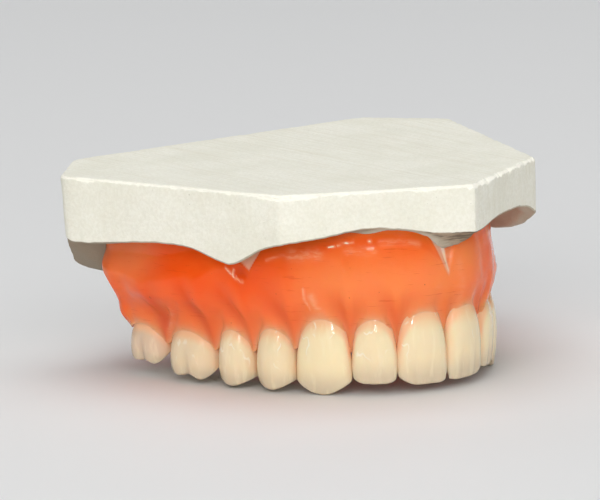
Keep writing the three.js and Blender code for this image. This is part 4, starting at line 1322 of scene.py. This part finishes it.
base = wax_piece(wax)
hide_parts("denture_base")
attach(base, "root")

for tooth in TEETH:
    for side, word in ((1, "left"), (-1, "right")):
        piece = tooth_piece(tooth, side, tooth_resin)
        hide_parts(f"{word}_{tooth['name']}")
        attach(piece, "root")

# Floor
FLOOR_SIZE = 3.0
floor_corners = [(x * FLOOR_SIZE, y * FLOOR_SIZE, 0) for x, y in ((-1, -1), (1, -1), (1, 1), (-1, 1))]
floor_mesh = bpy.data.meshes.new("floor")
floor_mesh.from_pydata(floor_corners, [], [(0, 1, 2, 3)])
floor_mesh.materials.append(floor_material())
floor = bpy.data.objects.new("floor", floor_mesh)
link(floor)

# Camera at the photograph's viewing angle, far off with a long lens
CAMERA_AZIMUTH = -0.6322
CAMERA_ELEVATION = 0.1828
CAMERA_ROLL = -0.0264
CAMERA_DISTANCE = 1.016064
CAMERA_LENS = 420.65
CAMERA_TARGET = Vector((0.001208, 0.011083, 0.015))
back = Vector((
    math.sin(CAMERA_AZIMUTH) * math.cos(CAMERA_ELEVATION),
    -math.cos(CAMERA_AZIMUTH) * math.cos(CAMERA_ELEVATION),
    math.sin(CAMERA_ELEVATION),
))
level = Vector((math.cos(CAMERA_AZIMUTH), math.sin(CAMERA_AZIMUTH), 0))
upright = back.cross(level)
across = level * math.cos(CAMERA_ROLL) + upright * math.sin(CAMERA_ROLL)
up = upright * math.cos(CAMERA_ROLL) - level * math.sin(CAMERA_ROLL)
camera_data = bpy.data.cameras.new("camera")
camera_data.lens = CAMERA_LENS
camera_data.sensor_width = 36
camera_data.sensor_fit = "HORIZONTAL"
camera_data.clip_end = 20
camera = bpy.data.objects.new("camera", camera_data)
placed = Matrix((across, up, back)).transposed().to_4x4()
placed.translation = CAMERA_TARGET + back * CAMERA_DISTANCE
camera.matrix_world = placed
link(camera)
bpy.context.scene.camera = camera

# Lights
MIDDLE = Vector((0, 0, 0.015))


def area_light(name, place, size, power, tint=(1, 1, 1), mirrored=False):
    data = bpy.data.lights.new(name, "AREA")
    data.shape = "RECTANGLE"
    data.size, data.size_y = size
    data.energy = power
    data.color = tint
    lamp = bpy.data.objects.new(name, data)
    lamp.visible_glossy = mirrored
    lamp.visible_diffuse = not mirrored
    lamp.location = place
    lamp.rotation_euler = (MIDDLE - Vector(place)).to_track_quat("-Z", "Y").to_euler()
    link(lamp)


area_light("key", (-0.627, -0.673, 0.42), (1.1, 0.8), 7.6, (1, 0.99, 0.965))
area_light("spark", (-0.56, -0.77, 0.36), (0.1, 0.1), 1.2, mirrored=True)
area_light("strip", (-0.33, -0.42, 0.85), (0.3, 0.03), 0.6, mirrored=True)
area_light("side_spark", (0.75, 0.5, 0.45), (0.1, 0.1), 0.6, mirrored=True)
area_light("fill", (0.7, -0.8, 0.35), (1.3, 1.0), 2.3, (0.97, 0.985, 1))
area_light("top", (0.05, 0.1, 0.9), (0.8, 0.8), 4.35)
area_light("rear", (0.2, 0.9, 0.5), (0.8, 0.5), 1.0)

world = bpy.data.worlds.new("studio")
world.use_nodes = True
background = world.node_tree.nodes["Background"].inputs
background["Color"].default_value = (0.9, 0.93, 1, 1)
background["Strength"].default_value = 0.25
world.cycles_visibility.glossy = False
bpy.context.scene.world = world
bpy.context.scene.view_settings.view_transform = "Standard"
